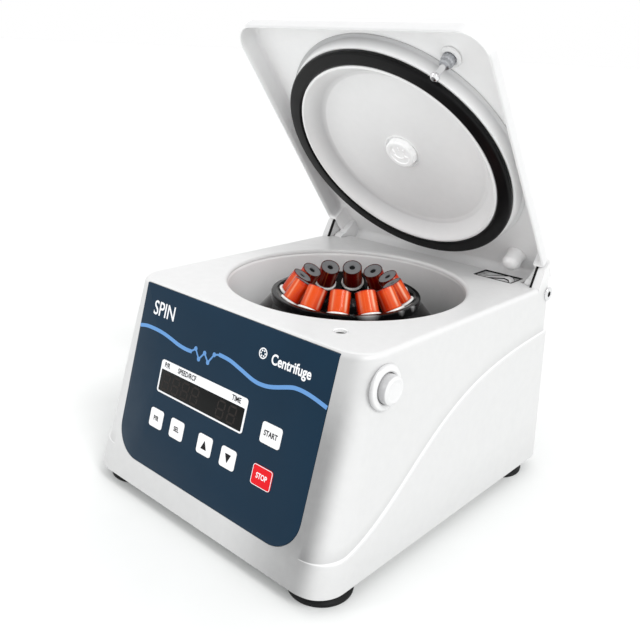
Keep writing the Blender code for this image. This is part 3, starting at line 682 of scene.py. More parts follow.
def casing():
    to_panel = Matrix.Rotation(math.pi / 2 - SLOPE, 4, "X")
    cuts = [
        flared(circle(OPENING, 144, (0, CHAMBER_Y)), 150, DECK_Z, 3.0),
        flared(circle(5.6, 40, STRIKER), 150, DECK_Z, 0.8),
        flared(rounded(62.6, 102.4, 285.6, 309.4, 1.2), 150, DECK_Z, 0.4),
        moved(slab(panel_outline(0.35), -1.5, 8), to_panel),
    ]
    for window in ((-74, 38, 84, 119.6), (-76, 76, 54, 77), (50, 76, 76, 110)):
        cuts.append(moved(slab(rounded(*window, 1.5), -12, 5), to_panel))
    for side in (1, -1):
        turn = along_x(HINGE_Y, HINGE_Z, side)
        pocket, head, bore = (12.6, 48, 107.5, CHEEK_X), (
            4.7, 40, DECK_HALF - 2.2, 140
        ), (2.6, 24, 110, 140)
        for radius, count, low, high in (pocket, head, bore):
            cuts.append(moved(slab(circle(radius, count), low, high), turn))
    cuts.append(moved(slab(circle(12.8, 64), 110, 150), along_x(*BUTTON)))
    back = Matrix.Translation((0, DEPTH, 0)) @ Matrix.Rotation(-math.pi / 2, 4, "X")
    holes = [(-94, -66, 22, 46, 1.0), (-46, -25, 20, 48, 1.0)]
    holes += [(10, 90, 22 + row * 9, 26 + row * 9, 1.9) for row in range(6)]
    for left, right, low, high, radius in holes:
        cuts.append(moved(flared(rounded(left, right, -high, -low, radius), -12, 0.05, 0.6), back))
    shell = carve(casing_shell(), *cuts, joins=(cheek(1), cheek(-1)))
    slot = "casing_white"
    weigh(put("casing", shell, CASE, "casing", "casing", ["main_housing"], slot, 30, tone=casing_tone))


def weigh(obj):
    modifier = obj.modifiers.new("even_normals", "WEIGHTED_NORMAL")
    modifier.keep_sharp = True
    modifier.weight = 80


def feet():
    profile = fillet(
        [
            (0, -0.3), (16, -0.3), (17, -4), (23, -7.4), (25, -9.4), (24.6, -12), (20, -12), (18, -11.4),
            (0, -11.4),
        ],
        [0, 0.4, 2.0, 2.0, 1.0, 0.5, 0.3, 0.3, 0], 4,
    )
    for name in ("foot_front_left", "foot_front_right", "foot_rear_left", "foot_rear_right"):
        low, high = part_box(name)
        centre = (low + high) / 2
        place = Matrix.Translation((centre.x, centre.y, CASE.translation.z))
        put("rubber_" + name, spin(profile, 72), place, "casing", "foot", [name], "foot_rubber")


# ---------------------------------------------------------------- front panel


def ribbon(points, width, low, high, samples=12):
    """A flat strip of even width along a smooth line through the points."""
    smooth = []
    for i in range(len(points) - 1):
        p0 = Vector(points[max(0, i - 1)])
        p1 = Vector(points[i])
        p2 = Vector(points[i + 1])
        p3 = Vector(points[min(len(points) - 1, i + 2)])
        for k in range(samples):
            t = k / samples
            bend = (2 * p0 - 5 * p1 + 4 * p2 - p3) * t * t + (3 * p1 - p0 - 3 * p2 + p3) * t**3
            smooth.append((2 * p1 + (p2 - p0) * t + bend) / 2)
    smooth.append(Vector(points[-1]))
    left, right = [], []
    for i, point in enumerate(smooth):
        along = (smooth[min(i + 1, len(smooth) - 1)] - smooth[max(i - 1, 0)]).normalized()
        side = Vector((-along.y, along.x)) * width / 2
        left.append(tuple(point + side))
        right.append(tuple(point - side))
    outline = right + left[::-1]
    return slab(outline, low, high)


def lettering(text, size, centre, name, body, look, height=0.27, depth=0.10, bold=0.0, squeeze=1.0):
    """Raised print in the panel's plane, as a mesh."""
    curve = bpy.data.curves.new(name, "FONT")
    curve.body = text
    curve.size = size
    curve.align_x = "CENTER"
    curve.align_y = "CENTER"
    curve.extrude = depth / 2
    curve.offset = bold
    curve.resolution_u = 4
    helper = add_object(name, curve)
    bpy.context.view_layer.update()
    solid = helper.evaluated_get(bpy.context.evaluated_depsgraph_get())
    bm = bmesh.new()
    bm.from_mesh(solid.to_mesh())
    solid.to_mesh_clear()
    bpy.data.objects.remove(helper)
    bmesh.ops.remove_doubles(bm, verts=bm.verts, dist=0.0005)
    moved(bm, Matrix.Translation((*centre, height)) @ Matrix.Diagonal((squeeze, 1, 1, 1)))
    return put(name, bm, PANEL, body, look)


def panel_sheet():
    sheet = slab(panel_outline(), -1.2, 0.2, 0.15, 2)
    cuts = [rounded(-70.3, 35.1, 87.7, 115.9, 2.9), *(key_outline(name, 0.3) for name in KEYS)]
    bm = carve(sheet, *(slab(outline, -5, 5) for outline in cuts))
    put("panel_sheet", bm, PANEL, "casing", "panel", ["front_panel"], "panel_navy")


KEYS = {
    "key_mode": "P/R", "key_select": "SEL", "key_up": "up", "key_down": "down", "key_start": "START",
    "key_stop": "STOP",
}


def key_centre(name):
    """A key's centre and half size in the panel's plane, from its CAD node."""
    corners = [PANEL.inverted() @ v.co / MM for v in frame["nodes"][name].data.vertices]
    spans = [(min(axis), max(axis)) for axis in ([p.x for p in corners], [p.y for p in corners])]
    return [(a + b) / 2 for a, b in spans], [(b - a) / 2 for a, b in spans]


def key_outline(name, grow=0.0):
    (u, v), (wide, tall) = key_centre(name)
    wide, tall = wide + grow, tall + grow
    return rounded(u - wide, u + wide, v - tall, v + tall, 2.4 + grow, 8)


def keys():
    for name, legend in KEYS.items():
        body = name + "_cap"
        (u, v), _ = key_centre(name)
        red = name == "key_stop"
        pad = dome_slab(key_outline(name), -4.0, 0.62, 0.35)
        look = "key_red" if red else "key_white"
        put("pad_" + name, pad, PANEL, body, look, [name], look)
        if red:
            rim = ring_slab(key_outline(name, -0.15), 0.45, 0.50, 0.70)
            put("rim_" + name, rim, PANEL, body, "print_white")
        if legend in ("up", "down"):
            sign = 1 if legend == "up" else -1
            arrow = [(u - 3.3, v - 3.4 * sign), (u + 3.3, v - 3.4 * sign), (u, v + 3.8 * sign)]
            if sign < 0:
                arrow.reverse()
            put(
                "arrow_" + legend, slab(fillet(arrow, 0.25, 3, True), 0.5, 0.74), PANEL, body, "print_black"
            )
        else:
            size = 5.6 if len(legend) == 3 else 5.9
            look = "print_white" if red else "print_black"
            label = "legend_" + legend.lower().replace("/", "")
            lettering(legend, size, (u, v), label, body, look, 0.69, 0.10, bold=0.13, squeeze=0.8)


def dome_slab(outline, low, high, edge):
    """A pad whose edge is rounded and whose top swells a little."""
    rings = [at_height(outline, low), *rolled(outline, edge, high - 0.08, 4)]
    centre = Vector((sum(p[0] for p in outline), sum(p[1] for p in outline))) / len(outline)
    for share in (0.85, 0.6, 0.3):
        ring = []
        for x, y in scaled_outline(outline, edge):
            point = centre + (Vector((x, y)) - centre) * share
            ring.append((point.x, point.y, high - 0.08 * share**2))
        rings.append(ring)
    return loft(rings)


def ring_slab(outline, width, low, high):
    """A thin raised frame along an outline."""
    inner = scaled_outline(outline, width)
    levels = ((outline, low), (outline, high), (inner, high), (inner, low))
    return loft([at_height(ring, z) for ring, z in levels], tube=True)


LEAN = 0.10


def seven_segments(u, v, width, height):
    """The seven bars of one unlit digit, as outlines."""
    half = width * 0.17 / 2
    gap = 0.16

    def bar(start, end, level):
        lower = [(start, level), (start + half, level - half), (end - half, level - half)]
        return lower + [(end, level), (end - half, level + half), (start + half, level + half)]

    outlines = [bar(half + gap, width - half - gap, height * k / 2) for k in range(3)]
    inset = gap + half * 0.4
    for x in (half, width - half):
        for low in (0, height / 2):
            upright = bar(low + inset, low + height / 2 - inset, x)
            outlines.append([(across, along) for along, across in upright][::-1])
    return [[(u + x + y * LEAN, v + y) for x, y in outline] for outline in outlines]


def display():
    frame_outline = rounded(-70, 34.8, 88, 115.6, 2.6, 8)
    window = rounded(-68.4, 33.2, 89.4, 107.8, 1.0, 5)
    plate = carve(slab(frame_outline, -1.2, 0.45, 0.2), slab(window, -5, 5))
    put("display_frame", plate, PANEL, "casing", "print_white", ["display_window"], "window_black")
    glass = slab(scaled_outline(window, 0.05), -1.2, 0.30, 0.12)
    put("display_glass", glass, PANEL, "casing", "window", slot="window_black")
    digits = []
    for u in (-65.5, -53.3, -41.1, -28.9, 2.5, 15.2):
        for outline in seven_segments(u, 91.8, 9.4, 13.2):
            digits.append(slab(outline, 0.26, 0.36))
    put("display_digits", joined(*digits), PANEL, "casing", "digit")
    for text, u in (("P/R", -62.2), ("SPEED/RCF", -36.8), ("TIME", 22.6)):
        name = "label_" + text.lower().replace("/", "")
        lettering(text, 6.0, (u, 111.7), name, "casing", "print_black", 0.50, bold=0.12, squeeze=0.8)


WAVE_LEFT = (
    (-107.2, 134.6), (-100, 136.1), (-92.8, 136.6), (-82, 136.4), (-72.7, 135.5), (-63, 133.8),
    (-55, 132.2), (-45, 131.2), (-37, 131.4),
)
WAVE_RIGHT = (
    (-6, 138.2), (6.8, 137.4), (19.9, 134.4), (34.7, 130.7), (45, 130.2), (55.2, 131.9), (71.6, 137.1),
    (79, 138.2), (87.1, 137.9), (96, 136.6), (107.2, 134.2),
)


def decoration():
    low, high = 0.18, 0.30
    strips = [ribbon(WAVE_LEFT, 3.1, low, high), ribbon(WAVE_RIGHT, 3.1, low, high)]
    chain = [
        (-38.0, 131.4), (-33.0, 135.0), (-27.5, 128.0), (-22.0, 134.5), (-16.5, 128.5), (-11.0, 136.5),
        (-5.0, 138.2),
    ]
    for spot in chain[1:-1]:
        strips.append(slab(circle(1.9, 24, spot), low, high + 0.02))
    for first, second in zip(chain, chain[1:]):
        strips.append(ribbon((first, second), 1.5, low, high + 0.01, 2))
    put("wave_stripe", joined(*strips), PANEL, "casing", "stripe")
    centre = (39.0, 152.6)
    emblem = [ring_slab(circle(4.2, 40, centre), 0.9, low, high)]
    for k in range(6):
        emblem.append(slab(circle(0.7, 16, polar(2.2, math.pi / 3 * k, centre)), low, high))
    put("rotor_emblem", joined(*emblem), PANEL, "casing", "print_white")
    lettering(
        "SPIN", 17.0, (-79.5, 153.5), "word_spin", "casing", "print_white", 0.24, bold=0.12, squeeze=0.84
    )
    lettering(
        "Centrifuge", 11.0, (68.0, 151.0), "word_use", "casing", "print_white", 0.24, bold=0.25,
        squeeze=0.84,
    )


# ---------------------------------------------------------------- chamber, rotor and tubes


def chamber():
    top, low = DECK_Z - WALL - 0.3, DECK_Z - 96.0
    inner = OPENING - 0.4
    profile = fillet(
        [
            (inner + 7, top), (inner + 7, top - 2), (inner + 2, top - 2.5), (inner + 1, low + 10),
            (inner - 9, low - 2), (16, low - 2), (16, low), (inner - 11, low), (inner - 1, low + 11),
            (inner, top - 2), (inner + 0.6, top),
        ],
        [0.3, 0.3, 0.6, 6, 3, 0.3, 0.3, 9, 9, 1, 0.4], 8, True,
    )

    def tone(co):
        """Lighter towards the left and the mouth, where the studio light reaches."""
        return 0.12 + (0.16 + 0.85 * towards(co, 195)) * smoothstep(low - 50, top, co.z)

    bowl = spin(profile, 144, True)
    put("bowl", bowl, ROTOR, "casing", "bowl", ["chamber_bowl"], "bowl_white", tone=tone)


def cone_height(radius):
    under = CAP_LENGTH + 0.3 + 2.0
    at = TUBE_RING + under * math.sin(TILT)
    return TUBE_TOP - under * math.cos(TILT) + (radius - at) * math.tan(TILT) - 0.6


def tube_place(number):
    angle = FIRST_TUBE - 2 * math.pi * number / TUBES
    out = Vector((math.cos(angle), math.sin(angle), 0))
    place = Matrix.Translation(out * TUBE_RING + Vector((0, 0, TUBE_TOP)))
    upright = Matrix.Rotation(angle, 4, "Z")
    return place @ Matrix.Rotation(-TILT, 4, out.cross(Vector((0, 0, -1)))) @ upright


def rotor():
    rim = DECK_Z - 10.8
    profile = fillet(
        [
            (0, cone_height(24)), (24, cone_height(24)), (60.6, cone_height(60.6)), (61.8, rim),
            (66.2, rim), (66.4, rim - 6.5), (69.5, rim - 9.5), (94.5, 118), (95.4, 113), (95.4, 90),
            (90, 84), (70, 84), (40, 118), (16, 122), (14, 90), (6.3, 90), (6.3, 100), (0, 100),
        ],
        [0, 6, 1.2, 0.9, 1.2, 0.8, 4.0, 2, 2, 2, 2, 1, 4, 1, 1, 0, 0, 0], 6,
    )
    bores = joined(*[moved(slab(circle(7.0, 32), -85.5, 5), tube_place(k)) for k in range(TUBES)])
    body = carve(spin(profile, 144), bores)

    def gleam(co):
        """Studio light caught on the rim and the shoulder below it."""
        radius, angle = co.xy.length, math.degrees(math.atan2(co.y, co.x))
        lights_at = ((-33, 7, 0.40), (-5, 3, 0.3), (176, 4, 0.35), (195, 3, 0.5), (10, 3, 0.4))
        total = sum(level * bell(angle, centre, width) for centre, width, level in lights_at)
        on_rim = between(64.4, 65.4, 66.3, 67.5, radius) * smoothstep(rim - 6, rim - 2, co.z)
        shoulder = 0.25 * between(68, 71, 73, 80, radius) * smoothstep(140, 144, co.z)
        return min(1.0, (on_rim + shoulder) * total)

    body = put("rotor_disc", body, ROTOR, "rotor", "rotor", ["rotor_body"], "rotor_black", 30, tone=gleam)
    weigh(body)
    seat = cone_height(24) + 0.3
    nut = fillet(
        [
            (0, seat + 13.5), (5, seat + 13.5), (5.6, seat + 16), (10, seat + 16), (12, seat + 13),
            (12, seat + 4), (16, seat + 3), (16, seat), (0, seat),
        ],
        [0, 0.4, 0.6, 1.2, 1.2, 0.8, 0.8, 0.3, 0], 4,
    )
    knob = lobed(spin(nut, 72), 10, seat + 3.6)
    put("rotor_knob", knob, ROTOR, "rotor", "nut", ["rotor_nut"], "nut_black")


def cap_mesh():
    """A closure drawn down from its top: fine flutes on its skirt and a rim round the stopper."""
    rings = []
    steps = 96
    profile = [
        (8.3, -4.6), (8.3, -0.5), (8.4, -0.1), (8.6, 0.0), (8.8, -0.08), (8.95, -0.35), (9.0, -1.0),
        (9.05, -4.0), (9.12, -9.0), (9.2, -14.0), (9.28, -18.4), (9.2, -19.1), (9.0, -19.45), (6.7, -19.5),
    ]
    for radius, height in profile:
        depth = 0.09 if -18.6 < height < -0.6 else 0.0
        ring = []
        for k in range(steps):
            angle = 2 * math.pi * k / steps
            groove = depth * smoothstep(0.86, 1.0, math.cos(angle * 10))
            ring.append((*polar(radius - groove, angle), height))
        rings.append(ring)
    return loft(rings)


def tubes():
    def bearing(co, k):
        """The direction of a point from its cap's axis, with the rotor at rest."""
        return math.degrees(math.atan2(co.y, co.x) + FIRST_TUBE) - 360 * k / TUBES

    def cap_tone(co, k):
        """Painted shade on a cap's side towards the rotor's middle and away from the front right; its top
        rim is darker.
        """
        out = 0.62 + 0.42 * co.x / 9.2 + 0.10 * smoothstep(-19, -3, co.z)
        off_front = abs((bearing(co, k) + 49 + 180) % 360 - 180)
        out -= 0.34 * smoothstep(46, 84, off_front)
        return min(1.0, max(0.0, out - 0.75 * smoothstep(-1.3, -0.3, co.z)))

    def cap_shine(co, k):
        """A narrow gleam down the right of each cap, and a fainter one at its left."""
        gleam = 0.75 * bell(bearing(co, k), -12, 7) + 0.28 * bell(bearing(co, k), -88, 6)
        on_side = between(-19.2, -17.5, -1.2, -0.5, co.z)
        return gleam * on_side * (0.25 + 0.75 * smoothstep(-3, 6, co.x))

    def tube_tone(co):
        return 0.2 + 0.6 * smoothstep(-50, -49, co.z)

    stopper = fillet(
        [
            (0, -3.6), (2.7, -3.6), (2.7, -0.5), (3.2, -0.25), (8.0, -0.1), (8.25, -0.6), (8.25, -3.0),
            (0, -4.4),
        ],
        [0, 0, 0.3, 0.5, 0.3, 0.2, 0, 0], 3,
    )
    wall = fillet([(0, -19.0), (6.5, -19.0), (6.5, -77.5), (4.6, -82.1), (0, -84)], [0, 0, 5.5, 3.0, 0], 6)
    sleeve = fillet(
        [(7.1, -19.8), (10.6, -19.8), (10.9, -21.8), (8.3, -22.0), (8.3, -24.8), (7.1, -24.8)],
        [0.2, 0.7, 0.6, 0.3, 0.3, 0.2], 4, True,
    )
    for k in range(TUBES):
        suffix = f"_{k + 1:02d}"
        node, body = "sample_tube" + suffix, "tube" + suffix
        place = placed(ROTOR, tube_place(k))
        streaks = {
            "tone": lambda co, k=k: cap_tone(co, k), "shine": lambda co, k=k: cap_shine(co, k),
            "turn": lambda co, k=k: 7 * k + math.atan2(co.y, co.x),
        }
        put("cap" + suffix, cap_mesh(), place, body, "cap", [node], "tube_orange", 40, **streaks)
        put("stopper" + suffix, spin(stopper, 48), place, body, "stopper", slot="tube_orange")
        # painted shade: a black disc down in each stopper's well stands for the dark of the hole
        put("stopper_well" + suffix, slab(circle(2.68, 24), -3.58, -1.3), place, body, "hole")
        put("tube_wall" + suffix, spin(wall, 32), place, body, "tube", slot="tube_orange", tone=tube_tone)
        put("sleeve" + suffix, spin(sleeve, 48, True), place, "rotor", "collar", slot="rotor_black")


# ---------------------------------------------------------------- lid


def lid_outline(inset=0.0):
    wide, neck = 127.0 - inset, 119.2 - inset
    front, rear = -263.0 + inset, 10.4 - inset
    step_y = -25.0 - inset
    radius = 24.0 - inset

    def corner(x, y):
        return [polar(3.0, math.pi / 2 * (1 - k / 4), (x - 3.0, y - 3.0)) for k in range(5)]

    half = [*corner(neck, rear), (neck, step_y), *corner(wide, step_y)]
    centre = (wide - radius, front + radius)
    half += [polar(radius, -math.pi / 2 * k / 14, centre) for k in range(15)]
    return half + [(-x, y) for x, y in reversed(half)]


LID_LOW = DECK_Z + 0.6 - HINGE_Z
LID_HIGH = LID_LOW + 20.0
PLATE = LID_HIGH - WALL
ROOF = PLATE - 0.3


def lid_shell():
    levels = [(PLATE, WALL + 14), (PLATE, 8.6), (PLATE - 0.25, 7.6), (PLATE - 0.9, 6.5), (PLATE - 2.0, 5.4)]
    levels += [
        (PLATE - 3.2, 4.6), (PLATE - 6, 4.0), (LID_LOW + 4.0, 3.0), (LID_LOW + 1.0, 2.6),
        (LID_LOW + 0.25, 2.1), (LID_LOW, 1.5), (LID_LOW + 0.25, 0.6), (LID_LOW + 1.0, 0.1),
    ]
    for k in range(11):
        angle = math.pi / 2 * k / 10
        levels.append((LID_HIGH - 16 * (1 - math.sin(angle)), 14 * (1 - math.cos(angle))))
    bm = loft([at_height(lid_outline(inset), z) for z, inset in levels])
    joins, cuts = [], []
    for side in (1, -1):
        turn = along_x(0, 0, side)
        joins.append(moved(slab(circle(11.0, 48), 109.5, 119.2, 0.6, 3, True), turn))
        ends = sorted((side * 109.5, side * 119.0))
        joins.append(block(ends, (-9.5, 8.8), (0, LID_HIGH - 1), 1.0))
        cuts.append(moved(slab(circle(2.6, 24), 100, 125), turn))
    bm = carve(bm, *cuts, joins=joins)

    def tone(co):
        """The left skirt's inner wall and the plate's rear lie in soft shade. The outside is as grey
        as the casing."""
        outside = [smoothstep(PLATE + 0.2, PLATE + 1.2, co.z), smoothstep(125.2, 126.2, abs(co.x))]
        outside.append(smoothstep(-261.2, -262.2, co.y) if co.y < -261 else 0.0)
        inside = between(LID_LOW + 1.5, LID_LOW + 4, PLATE + 0.2, PLATE + 1, co.z)
        wall = smoothstep(-117, -120.5, co.x) * inside
        shade = 0.90 - (0.10 + 0.30 * smoothstep(-200, -40, co.y)) * wall
        shade -= 0.10 * smoothstep(-120, -10, co.y) * inside
        return shade + (0.60 - shade) * max(outside)

    weigh(put("lid_cover", bm, LID, "lid", "cover", ["lid_shell"], "lid_white", 30, tone=tone))


def lid_inside():
    place = shifted(LID, 0, CHAMBER_Y - HINGE_Y)
    face = DECK_Z + 0.3 - HINGE_Z
    seat = face + 5.0
    liner = fillet(
        [
            (0, ROOF), (119.5, ROOF), (119.3, ROOF - 0.8), (116.8, ROOF - 1.6), (115.2, seat + 2.0),
            (114.6, seat + 0.3), (100.6, seat + 0.3), (100.6, face + 1.0), (98.4, face + 0.5),
            (96.0, face + 3.0), (87.0, ROOF - 4.2), (83.0, ROOF - 2.2), (60.0, ROOF - 2.2),
            (18.2, ROOF - 2.2), (17.2, ROOF - 3.0), (16.4, ROOF - 2.2), (15.6, ROOF - 1.2), (0, ROOF - 1.2),
        ],
        [0, 0, 0.6, 1.5, 1.2, 0.5, 0.3, 0.8, 1.6, 3.0, 4.0, 3.0, 0, 0.4, 0.5, 0.3, 0.3, 0], 6,
    )

    def tone(co):
        """The dish's foot is shaded on the side away from the button, and the outer wall under its edge."""
        radius = co.xy.length
        slope = between(80.5, 86, 87, 95, radius)
        outer = smoothstep(100, 113, radius) * smoothstep(seat + 1, ROOF - 1, co.z)
        return 0.92 - 0.46 * slope * towards(co, 150) ** 1.3 - (0.22 + 0.5 * towards(co, 245)) * outer

    put("liner", spin(liner, 160), place, "lid", "liner", ["lid_liner"], "liner_white", tone=tone)
    gasket = fillet(
        [(113.8, seat), (113.8, face), (101.1, face), (101.1, seat)], [0.6, 2.2, 2.0, 0.5], 7, True
    )
    put("gasket", spin(gasket, 160, True), place, "lid", "rubber", ["lid_gasket"], "gasket_rubber")
    port = fillet(
        [
            (0, ROOF - 1.5), (14.8, ROOF - 1.5), (14.6, ROOF - 6.4), (13.2, ROOF - 7.4), (10.4, ROOF - 7.4),
            (9.8, ROOF - 6.6), (0, ROOF - 6.6),
        ],
        [0, 0, 0.8, 0.8, 0.5, 0.4, 0], 5,
    )
    put("port_plug", spin(port, 72), place, "lid", "plug", ["lid_port"], "port_white")
    ribs = []
    for angle in (-150, -120, -90, -60, -30, 0, 30, 60, 90, 120, 150, 180):
        rib = block((13.9, 15.0), (-0.7, 0.7), (ROOF - 6.2, ROOF - 1.6), 0.3)
        ribs.append(moved(rib, Matrix.Rotation(math.radians(angle), 4, "Z")))
    for x, y, turn in ((-5.4, -3.6, 1.2), (0.6, -6.2, 1.5), (5.6, -4.6, 1.9), (7.2, 2.2, 0.2)):
        dash = moved(
            block((-1.7, 1.7), (-0.5, 0.5), (ROOF - 7.5, ROOF - 6.2), 0.4), Matrix.Rotation(turn, 4, "Z")
        )
        ribs.append(moved(dash, Matrix.Translation((x, y, 0))))
    arc = [polar(6.6, math.radians(20 + 14 * k), (0, -1.5)) for k in range(11)]
    arc += [polar(5.6, math.radians(160 - 14 * k), (0, -1.5)) for k in range(11)]
    ribs.append(slab(arc[::-1], ROOF - 7.5, ROOF - 6.2))
    put("port_ribs", joined(*ribs), place, "lid", "plug")


def striker():
    tip = DECK_Z - HINGE_Z - 9.3
    place = shifted(LID, STRIKER[0], STRIKER[1] - HINGE_Y)
    pad = fillet(
        [
            (0, ROOF), (9.0, ROOF), (9.0, ROOF - 1.4), (7.6, ROOF - 2.6), (6.0, ROOF - 2.8),
            (5.6, ROOF - 2.0), (0, ROOF - 2.0),
        ],
        [0, 0.4, 0.6, 0.8, 0.5, 0.2, 0], 4,
    )
    put("striker_pad", spin(pad, 48), place, "lid", "lid", ["striker_pin"], "striker_chrome")
    collar = fillet(
        [
            (0, ROOF - 2.0), (5.5, ROOF - 2.0), (5.5, ROOF - 6.6), (4.6, ROOF - 7.6), (4.6, ROOF - 10.4),
            (3.4, ROOF - 11), (0, ROOF - 11),
        ],
        [0, 0.2, 0.5, 0.4, 0.5, 0.4, 0], 4,
    )
    put("striker_collar", lobed(spin(collar, 72), 4.0, 0), place, "lid", "steel", slot="striker_chrome")
    rod = fillet(
        [
            (0, ROOF - 10), (2.4, ROOF - 10), (2.4, tip + 4.3), (3.6, tip + 3.9), (4.0, tip + 3.0),
            (3.9, tip + 1.6), (2.2, tip), (0, tip),
        ],
        [0, 0, 0.4, 0.5, 0.8, 0.9, 0.8, 0], 5,
    )
    put("striker_rod", spin(rod, 40), place, "lid", "chrome", slot="striker_chrome")


def striker_guide():
    """A pale lining in the hole that the striker drops into, as deep as the deck is thick."""
    profile = [
        (4.9, DECK_Z - 0.5), (5.4, DECK_Z - 0.2), (5.5, DECK_Z - 1.0), (5.5, DECK_Z - 2.9),
        (4.9, DECK_Z - 2.9),
    ]
    place = shifted(CASE, *STRIKER)
    put("striker_guide", spin(profile, 48, True), place, "casing", "port")


def lid_boss():
    face = DECK_Z - HINGE_Z + 0.7
    place = shifted(LID, 89, 290.5 - HINGE_Y)
    profile = fillet(
        [(0, ROOF), (9.4, ROOF), (8.4, ROOF - 2.2), (8.4, face + 5.5), (6.2, face + 1.4), (0, face)],
        [0, 0, 1.2, 3.0, 3.2, 0], 7,
    )
    put("switch_boss", spin(profile, 48), place, "lid", "port", ["lid_switch_boss"], "boss_white")


def cheek_gap_shadows():
    """A painted shadow: a dark strip down each cheek's front edge, for the shade in the gap beside the lid.
    """
    line = fillet(
        [(288.0, DECK_Z - 1.0), (288.0, DECK_Z), (295.8, 184.6), (304.2, 190.6)], [0, 0.3, 6, 0], 6
    )
    for side, name in ((1, "right"), (-1, "left")):
        rings = []
        for x in (119.4, 121.4):
            outer = [(side * x, y - 0.25, z + 0.2) for y, z in line]
            inner = [(side * x, y + 1.6, z - 0.8) for y, z in line]
            rings.append(outer + inner[::-1])
        put("cheek_gap_shadow_" + name, loft(rings), CASE, "casing", "rubber")


def hinge_screws():
    for name, side in (("hinge_screw_right", 1), ("hinge_screw_left", -1)):
        head = DECK_HALF + 0.2
        socket = slab(circle(2.9, 6), head - 1.5, head + 4)
        shape = fillet(
            [
                (0, 112.0), (2.0, 112.0), (2.3, 112.5), (2.3, head - 2.1), (4.2, head - 2.1),
                (4.2, head + 0.4), (6.3, head + 0.4), (6.3, head + 1.9), (0, head + 1.9),
            ],
            [0, 0.1, 0.1, 0.1, 0.3, 0.1, 0.1, 0.9, 0], 4,
        )
        bm = carve(spin(shape, 48), socket)
        place = placed(CASE, along_x(HINGE_Y, HINGE_Z, side))
        put(name + "_turned", bm, place, "casing", "chrome", [name], "screw_steel")
        # painted shade: a black disc on the socket's floor darkens the hex socket
        floor = slab(circle(2.85, 6), head - 1.48, head - 1.2)
        put(name + "_recess", floor, place, "casing", "hole")


# ---------------------------------------------------------------- release button, deck switch, rear


def release_button():
    y, z = BUTTON
    face = half_width(z)
    place = placed(CASE, along_x(y, z))
    lean = math.pi / 2 - math.atan2(BOTTOM_HALF - DECK_HALF, DECK_Z)
    flush = placed(CASE, Matrix.Translation((face, y, z)) @ Matrix.Rotation(lean, 4, "Y"))
    bezel = fillet(
        [
            (11.3, -9), (12.4, -9), (12.4, 0.1), (17.0, 0.1), (17.0, 1.4), (15.6, 2.9), (12.6, 3.4),
            (11.3, 2.6),
        ],
        [0.2, 0.2, 0.1, 0.2, 0.8, 1.2, 1.0, 0.5], 5, True,
    )

    def shade(co, inner, outer, depth):
        """The wall between two radii is darker on the side that faces the panel."""
        radius = co.xy.length
        return depth * smoothstep(inner, outer, radius) * (0.5 - 0.5 * co.y / max(radius, 0.1))

    def bezel_tone(co):
        # painted shade: darker on the outer wall towards the panel and down in the well round the cap
        well = 1 - smoothstep(11.3, 12.6, co.xy.length)
        return 0.66 - shade(co, 15.4, 16.8, 0.40) - 0.30 * well

    def cap_tone(co):
        return 0.60 - shade(co, 10.2, 10.8, 0.45) * (1 - smoothstep(tip - 1.4, tip - 0.3, co.z))

    tip = face + 9.5
    put(
        "release_bezel", spin(bezel, 96, True), flush, "casing", "button", ["button_bezel"], "bezel_white",
        tone=bezel_tone,
    )
    cap = fillet(
        [
            (0, tip - 0.5), (6.4, tip - 0.5), (8.4, tip), (10.8, tip - 1.3), (10.8, face - 6),
            (4, face - 6), (4, face - 16), (0, face - 16),
        ],
        [0, 1.5, 1.2, 1.2, 0.3, 0.3, 0.3, 0], 6,
    )
    put(
        "release_cap", spin(cap, 96), place, "button", "button", ["release_button"], "button_white",
        tone=cap_tone,
    )


def deck_switch():
    outline = rounded(63, 102, 286, 309, 0.8)
    rim = ring_slab(outline, 0.75, DECK_Z - 1.2, DECK_Z + 0.12)
    put("slot_rim", rim, CASE, "casing", "black")
    outer = rounded(60, 105, 283, 310.5, 1.5)
    hollow = slab(rounded(64, 101, 287, 308, 1.0), DECK_Z - 8.0, DECK_Z)
    tray = carve(slab(outer, DECK_Z - 17, DECK_Z - 3.4), hollow)
    put("switch_tray", tray, CASE, "casing", "lid", ["lid_switch_housing"], "switch_body")
    low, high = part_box("lid_switch_lever")
    mid = (low.y + high.y) / 2 / MM - CASE.translation.y / MM
    outline = fillet(
        [
            (-2, -1.6), (2, -1.6), (16, 1.4), (26, 3.2), (30, 1.0), (31.4, 1.6), (29, 5.2), (25, 6.0),
            (14, 4.0), (0, 1.6), (-2, 0.6),
        ],
        [0.6, 2, 4, 3, 0.5, 0.5, 2, 4, 6, 1, 0.8], 4, True,
    )
    lever = slab(outline, -5, 5, 0.5, 3, True)
    turn = Matrix.Translation((68, mid, DECK_Z - 4.2)) @ Matrix.Rotation(math.pi / 2, 4, "X")
    put("switch_arm", moved(lever, turn), CASE, "switch_lever", "lid", ["lid_switch_lever"], "lever_white")
    wire = fillet(
        [
            (1, 1.2), (14, 3.4), (25, 5.4), (29, 4.6), (30.6, 1.6), (30.6, 2.4), (29.4, 5.5), (25, 6.3),
            (14, 4.3), (1, 2.0),
        ],
        [0.1, 6, 3, 1, 0.1, 0.1, 1, 3, 6, 0.1], 4, True,
    )
    for name, low, high in (("switch_wire_left", -5.25, -4.6), ("switch_wire_right", 4.6, 5.25)):
        put(name, moved(slab(wire, low, high), turn), CASE, "switch_lever", "black")


